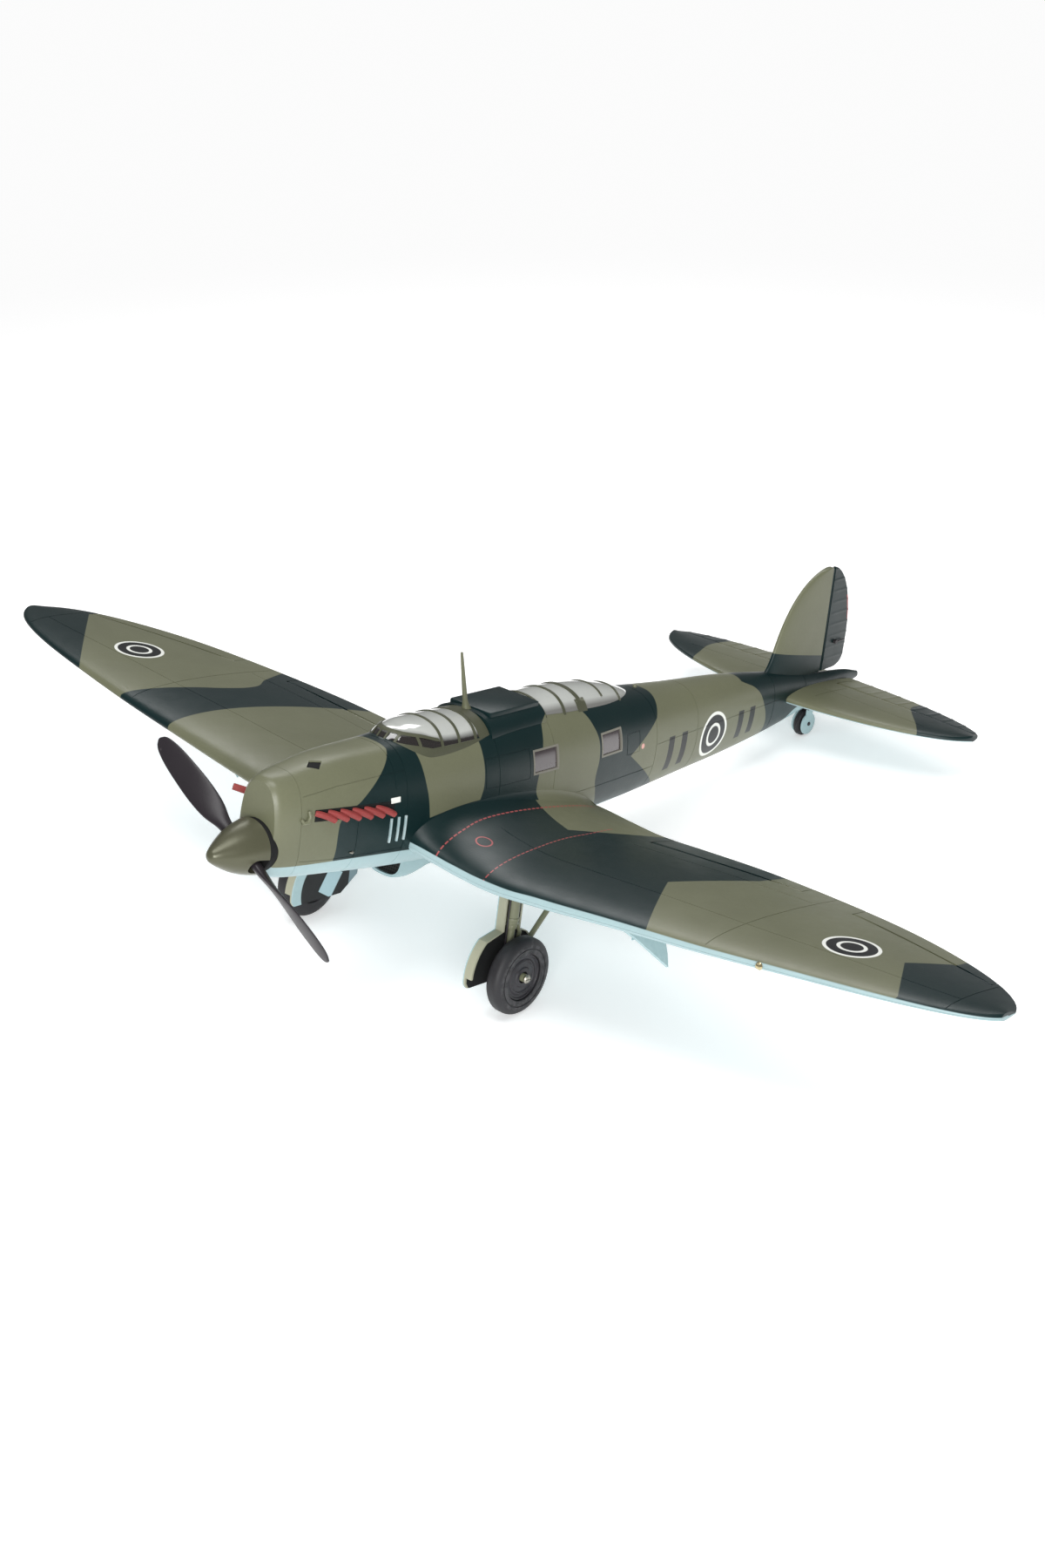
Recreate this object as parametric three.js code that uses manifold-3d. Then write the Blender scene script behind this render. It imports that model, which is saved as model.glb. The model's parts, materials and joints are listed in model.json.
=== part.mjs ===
// Display model of a single-engined monoplane with elliptical, slightly gulled wings, in about 1:72 scale.
// Millimetres. The outer frame stands on the ground: +Z up, the wheels touch Z = 0, the nose points to -Y,
// and the origin is on the ground below the middle of the model.
// Every piece is drawn in the airframe's own axes (origin at the spinner tip, Y along the thrust line,
// +X to the aircraft's left), and the airframe group is then pitched nose-up on to its three wheels.

import * as THREE from 'three';
import { mergeVertices } from 'three/addons/utils/BufferGeometryUtils.js';
import Module from 'manifold-3d';

const wasm = await Module();
wasm.setup();

// ---------------------------------------------------------------- driving dimensions

const GAP = 0.3;                 // clearance between neighbouring pieces
const SKIN = 1.2;                // moulded wall of the fuselage shells
const HALF_SPAN = 102.8;         // wing tip from the centreline
const LENGTH = 162.45;           // spinner tip to the end of the tail cone

const WING = {
  axis: 52.8,                    // y where leading and trailing edge meet at the tip
  leading: 17.9,                 // leading edge ahead of that axis at the root
  trailing: 25.4,                // trailing edge behind it at the root
  leadingPower: 1.9,
  trailingPower: 1.7,
  root: 7.0,                     // inboard end, inside the fillet
  rootThickness: 6.6,
  tipThickness: 0.9,
  edge: 0.24,                    // thickness left along the edges
  incidence: 1.6,                // drop of the trailing edge below the leading edge at the root
};

// Each control surface starts at "front" (its y at both ends) with a nose rounded about its hinge line.
const FLAP = { inboard: 26.0, outboard: 55.2, front: [70.5, 70.1], nose: [0.8, 0.4] };
const AILERON = { inboard: 66.4, outboard: 95.0, front: [67.6, 60.2], nose: [0.4, 0.24] };
const ELEVATOR = { inboard: 3.2, outboard: 32.4, front: [151.6, 152.02], nose: [0.73, 0.31] };

const TAILPLANE = {
  axis: 151, halfSpan: 33.75, leading: 14.4, trailing: 7.6, leadingPower: 1.6, trailingPower: 2,
  root: 2.0, height: 1.3, rootThickness: 2.4, tipThickness: 0.8,
};

const FIN = {
  middle: 149.1, base: 3.9, leading: 14.9, top: 23.6, trailing: 7.5, trailingMiddle: 9.5,
  rudderBottom: 4.1, rudderFront: 149.2, rudderNose: 0.62, thickness: 1.9, tipThickness: 0.8, flare: 2.0,
};

const SPINNER = { tip: -0.1, radius: 4.35, base: 8.2 };
const PROPELLER = { radius: 22.0, plane: 6.7, turn: 1.0535 };
const NOSE = { front: 9.2, back: 13.2, bore: 1.15 };

const MAIN_WHEEL = { x: 22.7, y: 45.65, z: -21.45, radius: 6.25, width: 2.9 };
const TAIL_WHEEL = { x: 0, y: 147.5, z: -5.5, radius: 2.4, width: 1.4 };
const LEG = { x: 20.3, radius: 0.95, piston: 0.6, top: -5.4, shoulder: -13.8 };
const WELL = { x: 35.6, y: 49.0, radius: 6.9 };

const COLOURS = {
  olive: 0x7c7f68,
  darkGreen: 0x24393a,
  skyBlue: 0xc6d6d7,
  exhaust: 0x8d3a34,
  blade: 0x2c292c,
  rubber: 0x2e2d30,
  interior: 0x3b3d3a,
  clear: 0xb9c0bd,
  metal: 0xa9a79c,
  brass: 0xb89a5a,
};

// ---------------------------------------------------------------- small maths

const { sqrt, abs, pow, min, max, PI, sin, cos, sign } = Math;
const v = (x, y, z) => new THREE.Vector3(x, y, z);
const mix = (a, b, t) => a + (b - a) * t;

// A smooth curve through the rows of a table whose first column is the station.
function smoothRow(rows, station) {
  const last = rows.length - 1;
  let i = 0;
  while (i < last - 1 && station > rows[i + 1][0]) i += 1;
  const [a, b] = [rows[i], rows[i + 1]];
  const width = b[0] - a[0];
  const t = min(max((station - a[0]) / width, 0), 1);
  const slopeAt = (k, column) => {
    if (k === 0 || k === last) return (rows[k ? k : 1][column] - rows[k ? k - 1 : 0][column])
      / (rows[k ? k : 1][0] - rows[k ? k - 1 : 0][0]);
    return (rows[k + 1][column] - rows[k - 1][column]) / (rows[k + 1][0] - rows[k - 1][0]);
  };
  return a.map((value, column) => {
    if (column === 0) return station;
    const [m0, m1] = [slopeAt(i, column) * width, slopeAt(i + 1, column) * width];
    const [t2, t3] = [t * t, t * t * t];
    return (2 * t3 - 3 * t2 + 1) * value + (t3 - 2 * t2 + t) * m0
      + (3 * t2 - 2 * t3) * b[column] + (t3 - t2) * m1;
  });
}

function spaced(from, to, count) {
  return Array.from({ length: count + 1 }, (_, i) => mix(from, to, i / count));
}

// ---------------------------------------------------------------- solids

// A closed skin through rings of equal length, with a fan over the first and the last ring.
function loft(rings) {
  const count = rings[0].length;
  const points = rings.flat();
  const middle = (ring) => ring.reduce((sum, p) => sum.add(p), v(0, 0, 0)).divideScalar(count);
  const first = points.push(middle(rings[0])) - 1;
  const final = points.push(middle(rings[rings.length - 1])) - 1;
  const faces = [];
  for (let r = 0; r < rings.length - 1; r += 1) {
    for (let i = 0; i < count; i += 1) {
      const [a, b] = [r * count + i, r * count + (i + 1) % count];
      faces.push(a, b, b + count, a, b + count, a + count);
    }
  }
  const end = (rings.length - 1) * count;
  for (let i = 0; i < count; i += 1) {
    const j = (i + 1) % count;
    faces.push(first, j, i, final, end + i, end + j);
  }
  const geometry = new THREE.BufferGeometry();
  geometry.setAttribute('position', new THREE.Float32BufferAttribute(points.flatMap((p) => [p.x, p.y, p.z]), 3));
  geometry.setIndex(faces);
  return solid(geometry);
}

// The manifold of a closed geometry, turned right side out.
function solid(source) {
  const bare = source.clone();
  bare.deleteAttribute('normal');
  bare.deleteAttribute('uv');
  const geometry = mergeVertices(bare, 1e-4);
  const vertProperties = new Float32Array(geometry.attributes.position.array);
  const triVerts = new Uint32Array(geometry.index.array);
  if (volumeOf(vertProperties, triVerts) < 0) triVerts.reverse();
  return new wasm.Manifold(new wasm.Mesh({ numProp: 3, vertProperties, triVerts }));
}

function volumeOf(points, faces) {
  const at = (i) => v(points[3 * i], points[3 * i + 1], points[3 * i + 2]);
  let sum = 0;
  for (let i = 0; i < faces.length; i += 3) {
    sum += at(faces[i]).dot(at(faces[i + 1]).cross(at(faces[i + 2])));
  }
  return sum;
}

function geometryOf(manifold) {
  const mesh = manifold.getMesh();
  const geometry = new THREE.BufferGeometry();
  geometry.setAttribute('position', new THREE.BufferAttribute(new Float32Array(mesh.vertProperties), 3));
  geometry.setIndex(new THREE.BufferAttribute(new Uint32Array(mesh.triVerts), 1));
  return geometry;
}

function box(low, high) {
  const geometry = new THREE.BoxGeometry(high[0] - low[0], high[1] - low[1], high[2] - low[2]);
  geometry.translate((low[0] + high[0]) / 2, (low[1] + high[1]) / 2, (low[2] + high[2]) / 2);
  return solid(geometry);
}

// A round bar between two points; its ends may differ in radius.
function rod(from, to, startRadius, endRadius = startRadius, sides = 12) {
  const along = v(...to).sub(v(...from));
  const geometry = new THREE.CylinderGeometry(endRadius, startRadius, along.length(), sides);
  const turn = new THREE.Quaternion().setFromUnitVectors(v(0, 1, 0), along.clone().normalize());
  geometry.applyQuaternion(turn);
  geometry.translate(...v(...from).addScaledVector(along, 0.5).toArray());
  return solid(geometry);
}

// A body of revolution about a line through (x, y, z) along "axis"; the profile holds [radius, along] pairs.
function turned(profile, centre, axis, sides = 24, phase = 0) {
  const geometry = new THREE.LatheGeometry(profile.map((p) => new THREE.Vector2(...p)), sides, phase);
  const turn = new THREE.Quaternion().setFromUnitVectors(v(0, 1, 0), axis);
  geometry.applyQuaternion(turn);
  geometry.translate(...centre);
  return solid(geometry);
}

// A flat plate in the y-z plane, "from" to "to" in x.
function sidePlate(outline, from, to) {
  const shape = new THREE.Shape(outline.map(([y, z]) => new THREE.Vector2(y, z)));
  const geometry = new THREE.ExtrudeGeometry(shape, { depth: to - from, bevelEnabled: false, curveSegments: 8 });
  geometry.applyMatrix4(new THREE.Matrix4().makeBasis(v(0, 1, 0), v(0, 0, 1), v(1, 0, 0)));
  geometry.translate(from, 0, 0);
  return solid(geometry);
}

const mirrored = (manifold) => manifold.mirror([1, 0, 0]);

// ---------------------------------------------------------------- fuselage

// station y, top z, bottom z, half width, height of the widest point, exponent of the section
const FUSELAGE = [
  [9.2, 9.9, -4.5, 3.6, 1.5, 2.6],
  [10.0, 10.5, -4.9, 4.2, 1.4, 2.7],
  [13.2, 11.1, -5.5, 5.1, 1.2, 2.8],
  [21.5, 12.1, -6.5, 6.3, 0.9, 2.7],
  [33.0, 12.2, -7.9, 7.4, 0.7, 2.6],
  [46.0, 12.7, -8.9, 8.4, 0.8, 2.5],
  [60.0, 12.9, -9.1, 8.9, 1.0, 2.5],
  [75.0, 12.2, -8.6, 8.7, 1.2, 2.45],
  [90.0, 10.45, -8.0, 7.6, 1.4, 2.4],
  [98.0, 9.65, -7.55, 6.8, 1.5, 2.35],
  [106.0, 8.95, -7.05, 6.0, 1.6, 2.3],
  [120.0, 7.95, -6.1, 4.6, 1.7, 2.25],
  [134.0, 6.2, -4.55, 3.1, 1.7, 2.2],
  [148.0, 3.9, -2.1, 1.8, 1.5, 2.1],
  [158.0, 2.9, -0.5, 0.9, 1.4, 2.0],
  [LENGTH, 1.9, 0.7, 0.35, 1.3, 2.0],
];
const bellyHeight = (y) => smoothRow(FUSELAGE, y)[2];
const bodyHalfWidth = (y) => smoothRow(FUSELAGE, y)[3];

function fuselageRing(y, grow = 0, sides = 24) {
  const [, top, bottom, half, waist, power] = smoothRow(FUSELAGE, y);
  const width = max(half + grow, 0.15);
  return spaced(0, 2 * PI, sides).slice(0, -1).map((angle) => {
    const [c, s] = [cos(angle), sin(angle)];
    const height = s > 0 ? top + grow - waist : waist - bottom + grow;
    return v(width * sign(c) * pow(abs(c), 2 / power), y,
      waist + max(height, 0.15) * sign(s) * pow(abs(s), 2 / power));
  });
}

function fuselageBody(from, to, grow = 0, steps = 16, sides = 24) {
  return loft(spaced(from, to, steps).map((y) => fuselageRing(y, grow, sides)));
}

// The blister of the two canopies and the deck between them: station y, top z, half width.
const BLISTER = [
  [33.6, 11.9, 2.4],
  [35.3, 13.4, 4.4],
  [37.6, 13.9, 5.6],
  [40.0, 14.1, 6.1],
  [46.0, 13.9, 6.4],
  [53.0, 13.5, 6.4],
  [65.0, 13.6, 6.2],
  [73.0, 13.7, 5.9],
  [80.4, 13.2, 5.3],
  [86.6, 12.1, 4.3],
  [90.6, 10.9, 3.1],
  [93.6, 9.6, 1.4],
];
const BLISTER_FLOOR = 7.5;
const ROUND = 2.3;               // section exponent of the glazing
const SQUARE = 3.4;              // section exponent of the deck between the canopies

function blister(from, to, { shrink = 0, floor = BLISTER_FLOOR, steps = 8, power = ROUND, sides = 12 } = {}) {
  return loft(spaced(from, to, steps).map((y) => {
    const [, top, half] = smoothRow(BLISTER, y);
    return spaced(0, PI, sides).map((angle) => {
      const [c, s] = [cos(angle), max(sin(angle), 0)];
      return v(max(half - shrink, 0.2) * sign(c) * pow(abs(c), 2 / power), y,
        floor + max(top - shrink - floor, 0.2) * pow(s, 2 / power));
    });
  }));
}

const FRONT_CANOPY = [33.6, 52.4];
const DECK = [52.7, 65.7];
const REAR_CANOPY = [66.0, 93.6];
const GLASS = 0.7;
const SIDE_WINDOWS = [['front_window', 60.6, 66.8], ['rear_window', 78.2, 83.4]];
const WINDOW_HEIGHT = [3.3, 7.7];

// ---------------------------------------------------------------- wing

const leadingEdge = (x) => WING.axis - WING.leading * sqrt(max(1 - pow(x / HALF_SPAN, WING.leadingPower), 0));
const trailingEdge = (x) => WING.axis + WING.trailing * sqrt(max(1 - pow(x / HALF_SPAN, WING.trailingPower), 0));

// Height of the chord line along the span. The root falls to the gull's low point, then rises to the tip.
const GULL = [
  [0, -3.1], [8, -3.5], [12, -3.9], [16, -4.35], [23, -4.75], [32, -4.1],
  [46, -2.8], [60, -1.75], [76, -0.55], [92, 0.25], [HALF_SPAN, 0.65],
];
const chordHeight = (x) => smoothRow(GULL, x)[1];

// Half thickness of a round-nosed section over the chord fraction s, for unit thickness.
function sectionHalf(s) {
  const c = min(max(s, 0), 1);
  return 5 * (0.2969 * sqrt(c) - 0.126 * c - 0.3516 * c * c + 0.2843 * c ** 3 - 0.1036 * c ** 4);
}

const wingThickness = (x) => mix(WING.rootThickness, WING.tipThickness, pow(x / HALF_SPAN, 0.8));

// The fillet lifts the upper skin towards the fuselage side.
function filletLift(x, s) {
  const fade = Math.exp(-max(x - WING.root, 0) / 3.2);
  return 3.2 * fade * pow(max(sin(PI * min(s + 0.04, 1)), 0), 0.6);
}

// The wing's middle surface: cambered, and nose-up towards the root.
function middleHeight(x, s) {
  const camber = 0.22 * wingThickness(x) * s * (1 - s);
  const twist = WING.incidence * Math.exp(-(x - 8) / 14) * (s - 0.1);
  return chordHeight(x) + camber - twist;
}

function wingHeight(x, s, side) {
  const half = sectionHalf(s) * wingThickness(x) + WING.edge / 2;
  if (side > 0) return middleHeight(x, s) + half * 1.12 + filletLift(x, s);
  if (side < 0) return middleHeight(x, s) - half * 0.88;
  return middleHeight(x, s);
}

const CHORD_STEPS = [0, 0.015, 0.06, 0.14, 0.26, 0.42, 0.6, 0.8, 1];
const SPAN_STEPS = [7, 9, 12, 17, 24, 34, 46, 58, 70, 81, 90, 96.5, 100.5, 102.4];

// A ring of points round the wing section at x, "upper" and "lower" giving the height over the chord fraction.
function sectionRing(x, steps, upper, lower, spread = 0) {
  const [front, back] = [leadingEdge(x) - spread, trailingEdge(x) + spread];
  const at = (s, height) => v(x, mix(front, back, s), height(s));
  return steps.map((s) => at(s, upper)).concat([...steps].reverse().map((s) => at(s, lower)));
}

// One skin of the wing, from the parting surface out to the upper (side 1) or lower (side -1) surface.
function wingSkin(side) {
  const half = side * GAP / 2;
  return loft(SPAN_STEPS.map((x) => sectionRing(x, CHORD_STEPS,
    (s) => wingHeight(x, s, side) + (s < 0.01 || s === 1 ? half : 0),
    (s) => middleHeight(x, s) + half)));
}

// The whole wing in one, for the control surfaces moulded as single pieces.
function wingWhole() {
  return loft(SPAN_STEPS.map((x) => sectionRing(x, CHORD_STEPS,
    (s) => wingHeight(x, s, 1), (s) => wingHeight(x, s, -1))));
}

// The hollow inside the wing, clear of the edges and of the control surfaces.
function wingHollow() {
  const stations = [13, 24, 40, 56, 72, 86];
  const steps = [0.1, 0.25, 0.45, 0.7];
  return loft(stations.map((x) => {
    const wall = min(1.0, wingThickness(x) * 0.2);
    const surface = (side) => (s) => {
      const inside = side * (wingHeight(x, s, side) - middleHeight(x, s)) - wall;
      return middleHeight(x, s) + side * max(inside, 0.3);
    };
    return sectionRing(x, steps, surface(1), surface(-1));
  }));
}

// ---------------------------------------------------------------- control surfaces

// Everything behind a straight hinge line across the span, from front line "shift" further aft.
function behindLine({ inboard, outboard, front }, grow, shift) {
  const line = (x) => mix(front[0], front[1], (x - inboard) / (outboard - inboard)) + shift;
  const [a, b] = [inboard - grow, outboard + grow];
  const rear = LENGTH + 8;
  const shape = new THREE.Shape([[a, line(a)], [b, line(b)], [b, rear], [a, rear]].map(([x, y]) => new THREE.Vector2(x, y)));
  const geometry = new THREE.ExtrudeGeometry(shape, { depth: 40, bevelEnabled: false });
  geometry.translate(0, 0, -20);
  return solid(geometry);
}

// A control surface: the panel behind its hinge axis, with a nose turned about that axis.
function controlSurface(whole, layout, middle) {
  const { inboard, outboard, front, nose } = layout;
  const ends = [[inboard, front[0], nose[0]], [outboard, front[1], nose[1]]];
  const [root, tip] = ends.map(([x, y, r]) => [x, y + r, middle(x, y + r)]);
  const panel = whole.intersect(behindLine({ ...layout, front: [root[1], tip[1]] }, 0, 0));
  return panel.add(rod(root, tip, nose[0], nose[1], 12));
}

// Height of the middle of the wing section over the plan position (x, y).
function wingMiddle(x, y) {
  const s = (y - leadingEdge(x)) / (trailingEdge(x) - leadingEdge(x));
  return (wingHeight(x, s, 1) + wingHeight(x, s, -1)) / 2;
}

// ---------------------------------------------------------------- tail

function tailplaneEdges(x) {
  const t = TAILPLANE;
  return [
    t.axis - t.leading * sqrt(max(1 - pow(x / t.halfSpan, t.leadingPower), 0)),
    t.axis + t.trailing * sqrt(max(1 - pow(x / t.halfSpan, t.trailingPower), 0)),
  ];
}

const TAIL_STEPS = [0, 0.04, 0.15, 0.35, 0.6, 0.8, 1];
const TAIL_EDGE = 0.13;          // half thickness left along the edges of the tail surfaces

// A ring of points round a symmetrical section.
function symmetricRing(thickness, place) {
  const half = (s) => sectionHalf(s) * thickness + TAIL_EDGE;
  return TAIL_STEPS.map((s) => place(s, half(s))).concat([...TAIL_STEPS].reverse().map((s) => place(s, -half(s))));
}

function tailplaneBody() {
  const t = TAILPLANE;
  return loft([t.root, 4.5, 10, 16, 22, 27, 30.5, 32.6, 33.5].map((x) => {
    const [front, back] = tailplaneEdges(x);
    const thickness = mix(t.rootThickness, t.tipThickness, x / t.halfSpan);
    return symmetricRing(thickness, (s, lift) => v(x, mix(front, back, s), t.height + lift));
  }));
}

function finEdges(z) {
  const up = min(max((z - FIN.base) / (FIN.top - FIN.base), 0), 1);
  const flare = FIN.flare * Math.exp(-max(z - 5.5, 0) / 1.8);
  const front = FIN.middle - FIN.leading * sqrt(1 - up * up) - flare;
  const above = (z - FIN.trailingMiddle) / (FIN.top - FIN.trailingMiddle);
  const below = (FIN.trailingMiddle - z) / (FIN.trailingMiddle - FIN.base);
  const reach = z > FIN.trailingMiddle ? sqrt(max(1 - above ** 2, 0)) : pow(max(1 - below ** 6, 0), 0.3);
  return [front, FIN.middle + FIN.trailing * reach];
}

function finBody() {
  return loft([3.92, 4.2, 5, 6.5, 9, 12, 15, 18, 20.5, 22.3, 23.4].map((z) => {
    const [front, back] = finEdges(z);
    const thickness = mix(FIN.thickness, FIN.tipThickness, (z - FIN.base) / (FIN.top - FIN.base));
    return symmetricRing(thickness, (s, lift) => v(lift, mix(front, back, s), z));
  }));
}

// ---------------------------------------------------------------- assembly helpers

const STAND = standingPose();
const airframe = new THREE.Group();
airframe.name = 'airframe';
airframe.rotation.x = -STAND.pitch;
airframe.position.z = STAND.lift;

// The pitch at which main and tail tyres both touch the ground, and the lift that puts the ground at Z = 0.
function standingPose() {
  const run = TAIL_WHEEL.y - MAIN_WHEEL.y;
  const rise = MAIN_WHEEL.z - TAIL_WHEEL.z;
  const pitch = Math.asin((MAIN_WHEEL.radius - TAIL_WHEEL.radius) / Math.hypot(run, rise)) - Math.atan2(rise, run);
  const lift = MAIN_WHEEL.radius + MAIN_WHEEL.y * sin(pitch) - MAIN_WHEEL.z * cos(pitch);
  return { pitch, lift };
}

function add(name, manifold, color, roughness = 0.6, metalness = 0) {
  const material = new THREE.MeshStandardMaterial({ color, roughness, metalness });
  const mesh = new THREE.Mesh(geometryOf(manifold), material);
  mesh.name = name;
  airframe.add(mesh);
}

// Adds a piece on the left and its mirror image on the right.
function addPair(name, manifold, ...looks) {
  add(`${name}_left`, manifold, ...looks);
  add(`${name}_right`, mirrored(manifold), ...looks);
}

// ---------------------------------------------------------------- fuselage shells

const clearBody = fuselageBody(NOSE.front, LENGTH, GAP, 24);
const SPAR = { y: [52, 55.4], z: [-5.1, -3.6], reach: 27 };
const TAIL_STEM = 0.55;

function sparBox(reach, grow) {
  const { y, z } = SPAR;
  return box([-reach - grow, y[0] - grow, z[0] - grow], [reach + grow, y[1] + grow, z[1] + grow]);
}

function fuselageShell() {
  let shell = fuselageBody(NOSE.back + GAP, LENGTH, 0, 24)
    .subtract(fuselageBody(NOSE.back - 2, 128, -SKIN, 14, 16))
    .subtract(blister(34.6, 92.4, { shrink: GLASS + 0.35 }))
    .subtract(sparBox(12, GAP))
    .subtract(rod([0, TAIL_WHEEL.y, -4], [0, TAIL_WHEEL.y, 1.6], TAIL_STEM + GAP));
  for (const [, from, to] of SIDE_WINDOWS) {
    shell = shell.subtract(box([-12, from, WINDOW_HEIGHT[0]], [12, to, WINDOW_HEIGHT[1]]));
  }
  return shell;
}

const leftHalf = box([GAP / 2, 0, -30], [30, 200, 40]);
addPair('fuselage', fuselageShell().intersect(leftHalf), COLOURS.olive, 0.55);

// ---------------------------------------------------------------- nose and propeller

const thrustRod = (from, to, radius, sides = 16) => rod([0, from, 0], [0, to, 0], radius, radius, sides);

const noseRing = loft([NOSE.front, 9.5, 10.2, 11.6, NOSE.back].map((y) => fuselageRing(y)));
add('nose_ring', noseRing.subtract(thrustRod(5, 20, NOSE.bore)), COLOURS.olive, 0.55);

// A blunt-tipped cone with gently bulging sides, swept round the thrust line.
function spinnerCone(shrink) {
  const r = SPINNER.radius - shrink;
  const tip = SPINNER.tip + shrink;
  const shape = [[0, 0], [0.015, 0.13], [0.07, 0.25], [0.25, 0.47], [0.5, 0.72], [0.75, 0.89], [1, 1]];
  const profile = shape.map(([along, out]) => [r * out, mix(tip, SPINNER.base, along)]);
  return turned([...profile, [0, SPINNER.base]], [0, 0, 0], v(0, 1, 0), 20);
}

// Blade stations: distance from the axis, chord, thickness, angle of twist.
const BLADE = [
  [0, 1.7, 1.7, 60], [4.6, 2.2, 1.4, 55], [7.5, 3.6, 1.0, 46], [11, 4.2, 0.75, 36],
  [15, 4.1, 0.6, 28], [18.5, 3.6, 0.5, 24], [20.7, 2.7, 0.4, 21], [PROPELLER.radius, 1.0, 0.3, 20],
];

function blade() {
  return loft([0.5, 2.5, 4.6, 6.5, 9, 12, 15, 18, 20, 21.2, PROPELLER.radius].map((r) => {
    const [, chord, thickness, twist] = smoothRow(BLADE, r);
    const turn = twist * PI / 180;
    return spaced(0, 2 * PI, 8).slice(0, -1).map((a) => {
      const [c, t] = [cos(a) * chord / 2, sin(a) * thickness / 2];
      return v(c * cos(turn) - t * sin(turn), PROPELLER.plane + c * sin(turn) + t * cos(turn), r);
    });
  }));
}

// A shape drawn upwards, turned to the blade angle and repeated on the other side.
function bladePair(single) {
  const one = single.rotate([0, -PROPELLER.turn * 180 / PI, 0]);
  return one.add(one.rotate([0, 180, 0]));
}

const SHAFT = 0.8;
const shaftBore = thrustRod(0, 25, SHAFT + GAP, 14);
const hub = thrustRod(5.2, 8.0, 2.3);
add('propeller', bladePair(blade()).add(hub).subtract(shaftBore), COLOURS.blade, 0.5);

function spinner() {
  const cuff = rod([0, PROPELLER.plane, 2.0], [0, PROPELLER.plane, 7], 1.45, 1.45, 12);
  const channel = box([-1.45, PROPELLER.plane, 2.0], [1.45, PROPELLER.plane + 4, 7]);
  const hollow = spinnerCone(1.0).add(thrustRod(4.9, SPINNER.base + 1, 2.6));
  return spinnerCone(0).subtract(hollow).subtract(bladePair(cuff.add(channel)));
}
add('spinner', spinner(), COLOURS.olive, 0.35, 0.2);

add('prop_shaft', thrustRod(3.6, 16.4, SHAFT, 14), COLOURS.metal, 0.35, 0.9);
add('shaft_retainer', thrustRod(14.0, 15.8, 2.0).subtract(shaftBore), COLOURS.metal, 0.5, 0.4);

// ---------------------------------------------------------------- exhausts

const EXHAUST = { front: 15.6, pitch: 2.62, count: 6, frontHeight: 4.6, rearHeight: 3.6, radius: 0.62 };

// A row of stubs that lean aft, joined by the strip they stand on.
function exhaustRow() {
  const { front, pitch, count, frontHeight, rearHeight, radius } = EXHAUST;
  const place = (i) => {
    const y = front + i * pitch;
    return [y, mix(frontHeight, rearHeight, i / (count - 1)), bodyHalfWidth(y)];
  };
  const [y0, z0, w0] = place(0);
  const [y1, z1, w1] = place(count - 1);
  let row = rod([w0 - 0.05, y0 - 0.6, z0], [w1 - 0.05, y1 + 1.4, z1], 0.5, 0.5, 6);
  for (let i = 0; i < count; i += 1) {
    const [y, z, w] = place(i);
    row = row.add(rod([w - 0.3, y - 0.5, z + 0.35], [w + 0.75, y + 1.5, z - 0.2], radius, radius * 0.9, 8));
  }
  return row;
}

// The first stub of the right-hand row stands out from the cowl.
const proudStub = rod([-5.0, 14.8, 4.9], [-8.0, 11.7, 6.0], 0.55, 0.5, 8);
add('exhaust_left', exhaustRow().subtract(clearBody), COLOURS.exhaust, 0.6);
add('exhaust_right', mirrored(exhaustRow()).add(proudStub).subtract(clearBody), COLOURS.exhaust, 0.6);

// ---------------------------------------------------------------- radiator under the belly

const RADIATOR = { front: 34.8, back: 49.4, half: 3.3, depth: 2.9, wall: 0.55 };

function radiatorBody(shrink, from, to) {
  const r = RADIATOR;
  const square = (value) => sign(value) * pow(abs(value), 0.7);
  return loft(spaced(from, to, 8).map((y) => {
    const t = min(max((y - r.front) / (r.back - r.front), 0), 1);
    const belly = 0.62 + 0.38 * sin(PI * min(t * 1.5, 1));
    const depth = 1.5 + r.depth * belly * sqrt(max(1 - t ** 3, 0.001)) - shrink;
    const middle = bellyHeight(y) + 1.5 - depth / 2;
    return spaced(0, 2 * PI, 16).slice(0, -1).map((a) => v((r.half - shrink) * square(cos(a)), y, middle + depth / 2 * square(sin(a))));
  }));
}

const radiatorDuct = radiatorBody(RADIATOR.wall, RADIATOR.front - 1, RADIATOR.back - 4);
const drain = rod([1.4, 46.0, -9.7], [1.9, 49.2, -11.3], 0.32, 0.32, 8);
const radiatorHousing = radiatorBody(0, RADIATOR.front, RADIATOR.back).subtract(radiatorDuct).add(drain).subtract(clearBody);
add('radiator_housing', radiatorHousing, COLOURS.skyBlue, 0.55);
const radiatorCore = radiatorBody(RADIATOR.wall + GAP, RADIATOR.front + 2.6, RADIATOR.front + 4.2).subtract(clearBody);
add('radiator_core', radiatorCore, COLOURS.interior, 0.8);

// ---------------------------------------------------------------- cockpits

// A thin-walled length of the blister; a closed end keeps its glass.
function blisterShell([from, to], openFront, openBack, power) {
  const inside = [openFront ? from - 1 : from + 0.9, openBack ? to + 1 : to - 1.2];
  const inner = blister(...inside, { shrink: GLASS, floor: BLISTER_FLOOR - 2, power });
  return blister(from, to, { power }).subtract(inner).subtract(clearBody);
}
add('front_canopy', blisterShell(FRONT_CANOPY, false, true, ROUND), COLOURS.clear, 0.15);
add('deck_fairing', blisterShell(DECK, true, true, SQUARE), COLOURS.darkGreen, 0.55);
add('rear_canopy', blisterShell(REAR_CANOPY, true, false, ROUND), COLOURS.clear, 0.15);

add('antenna_mast', rod([0, 52.8, 13.9], [0, 50.5, 23.0], 0.55, 0.28, 8), COLOURS.metal, 0.5, 0.3);

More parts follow.
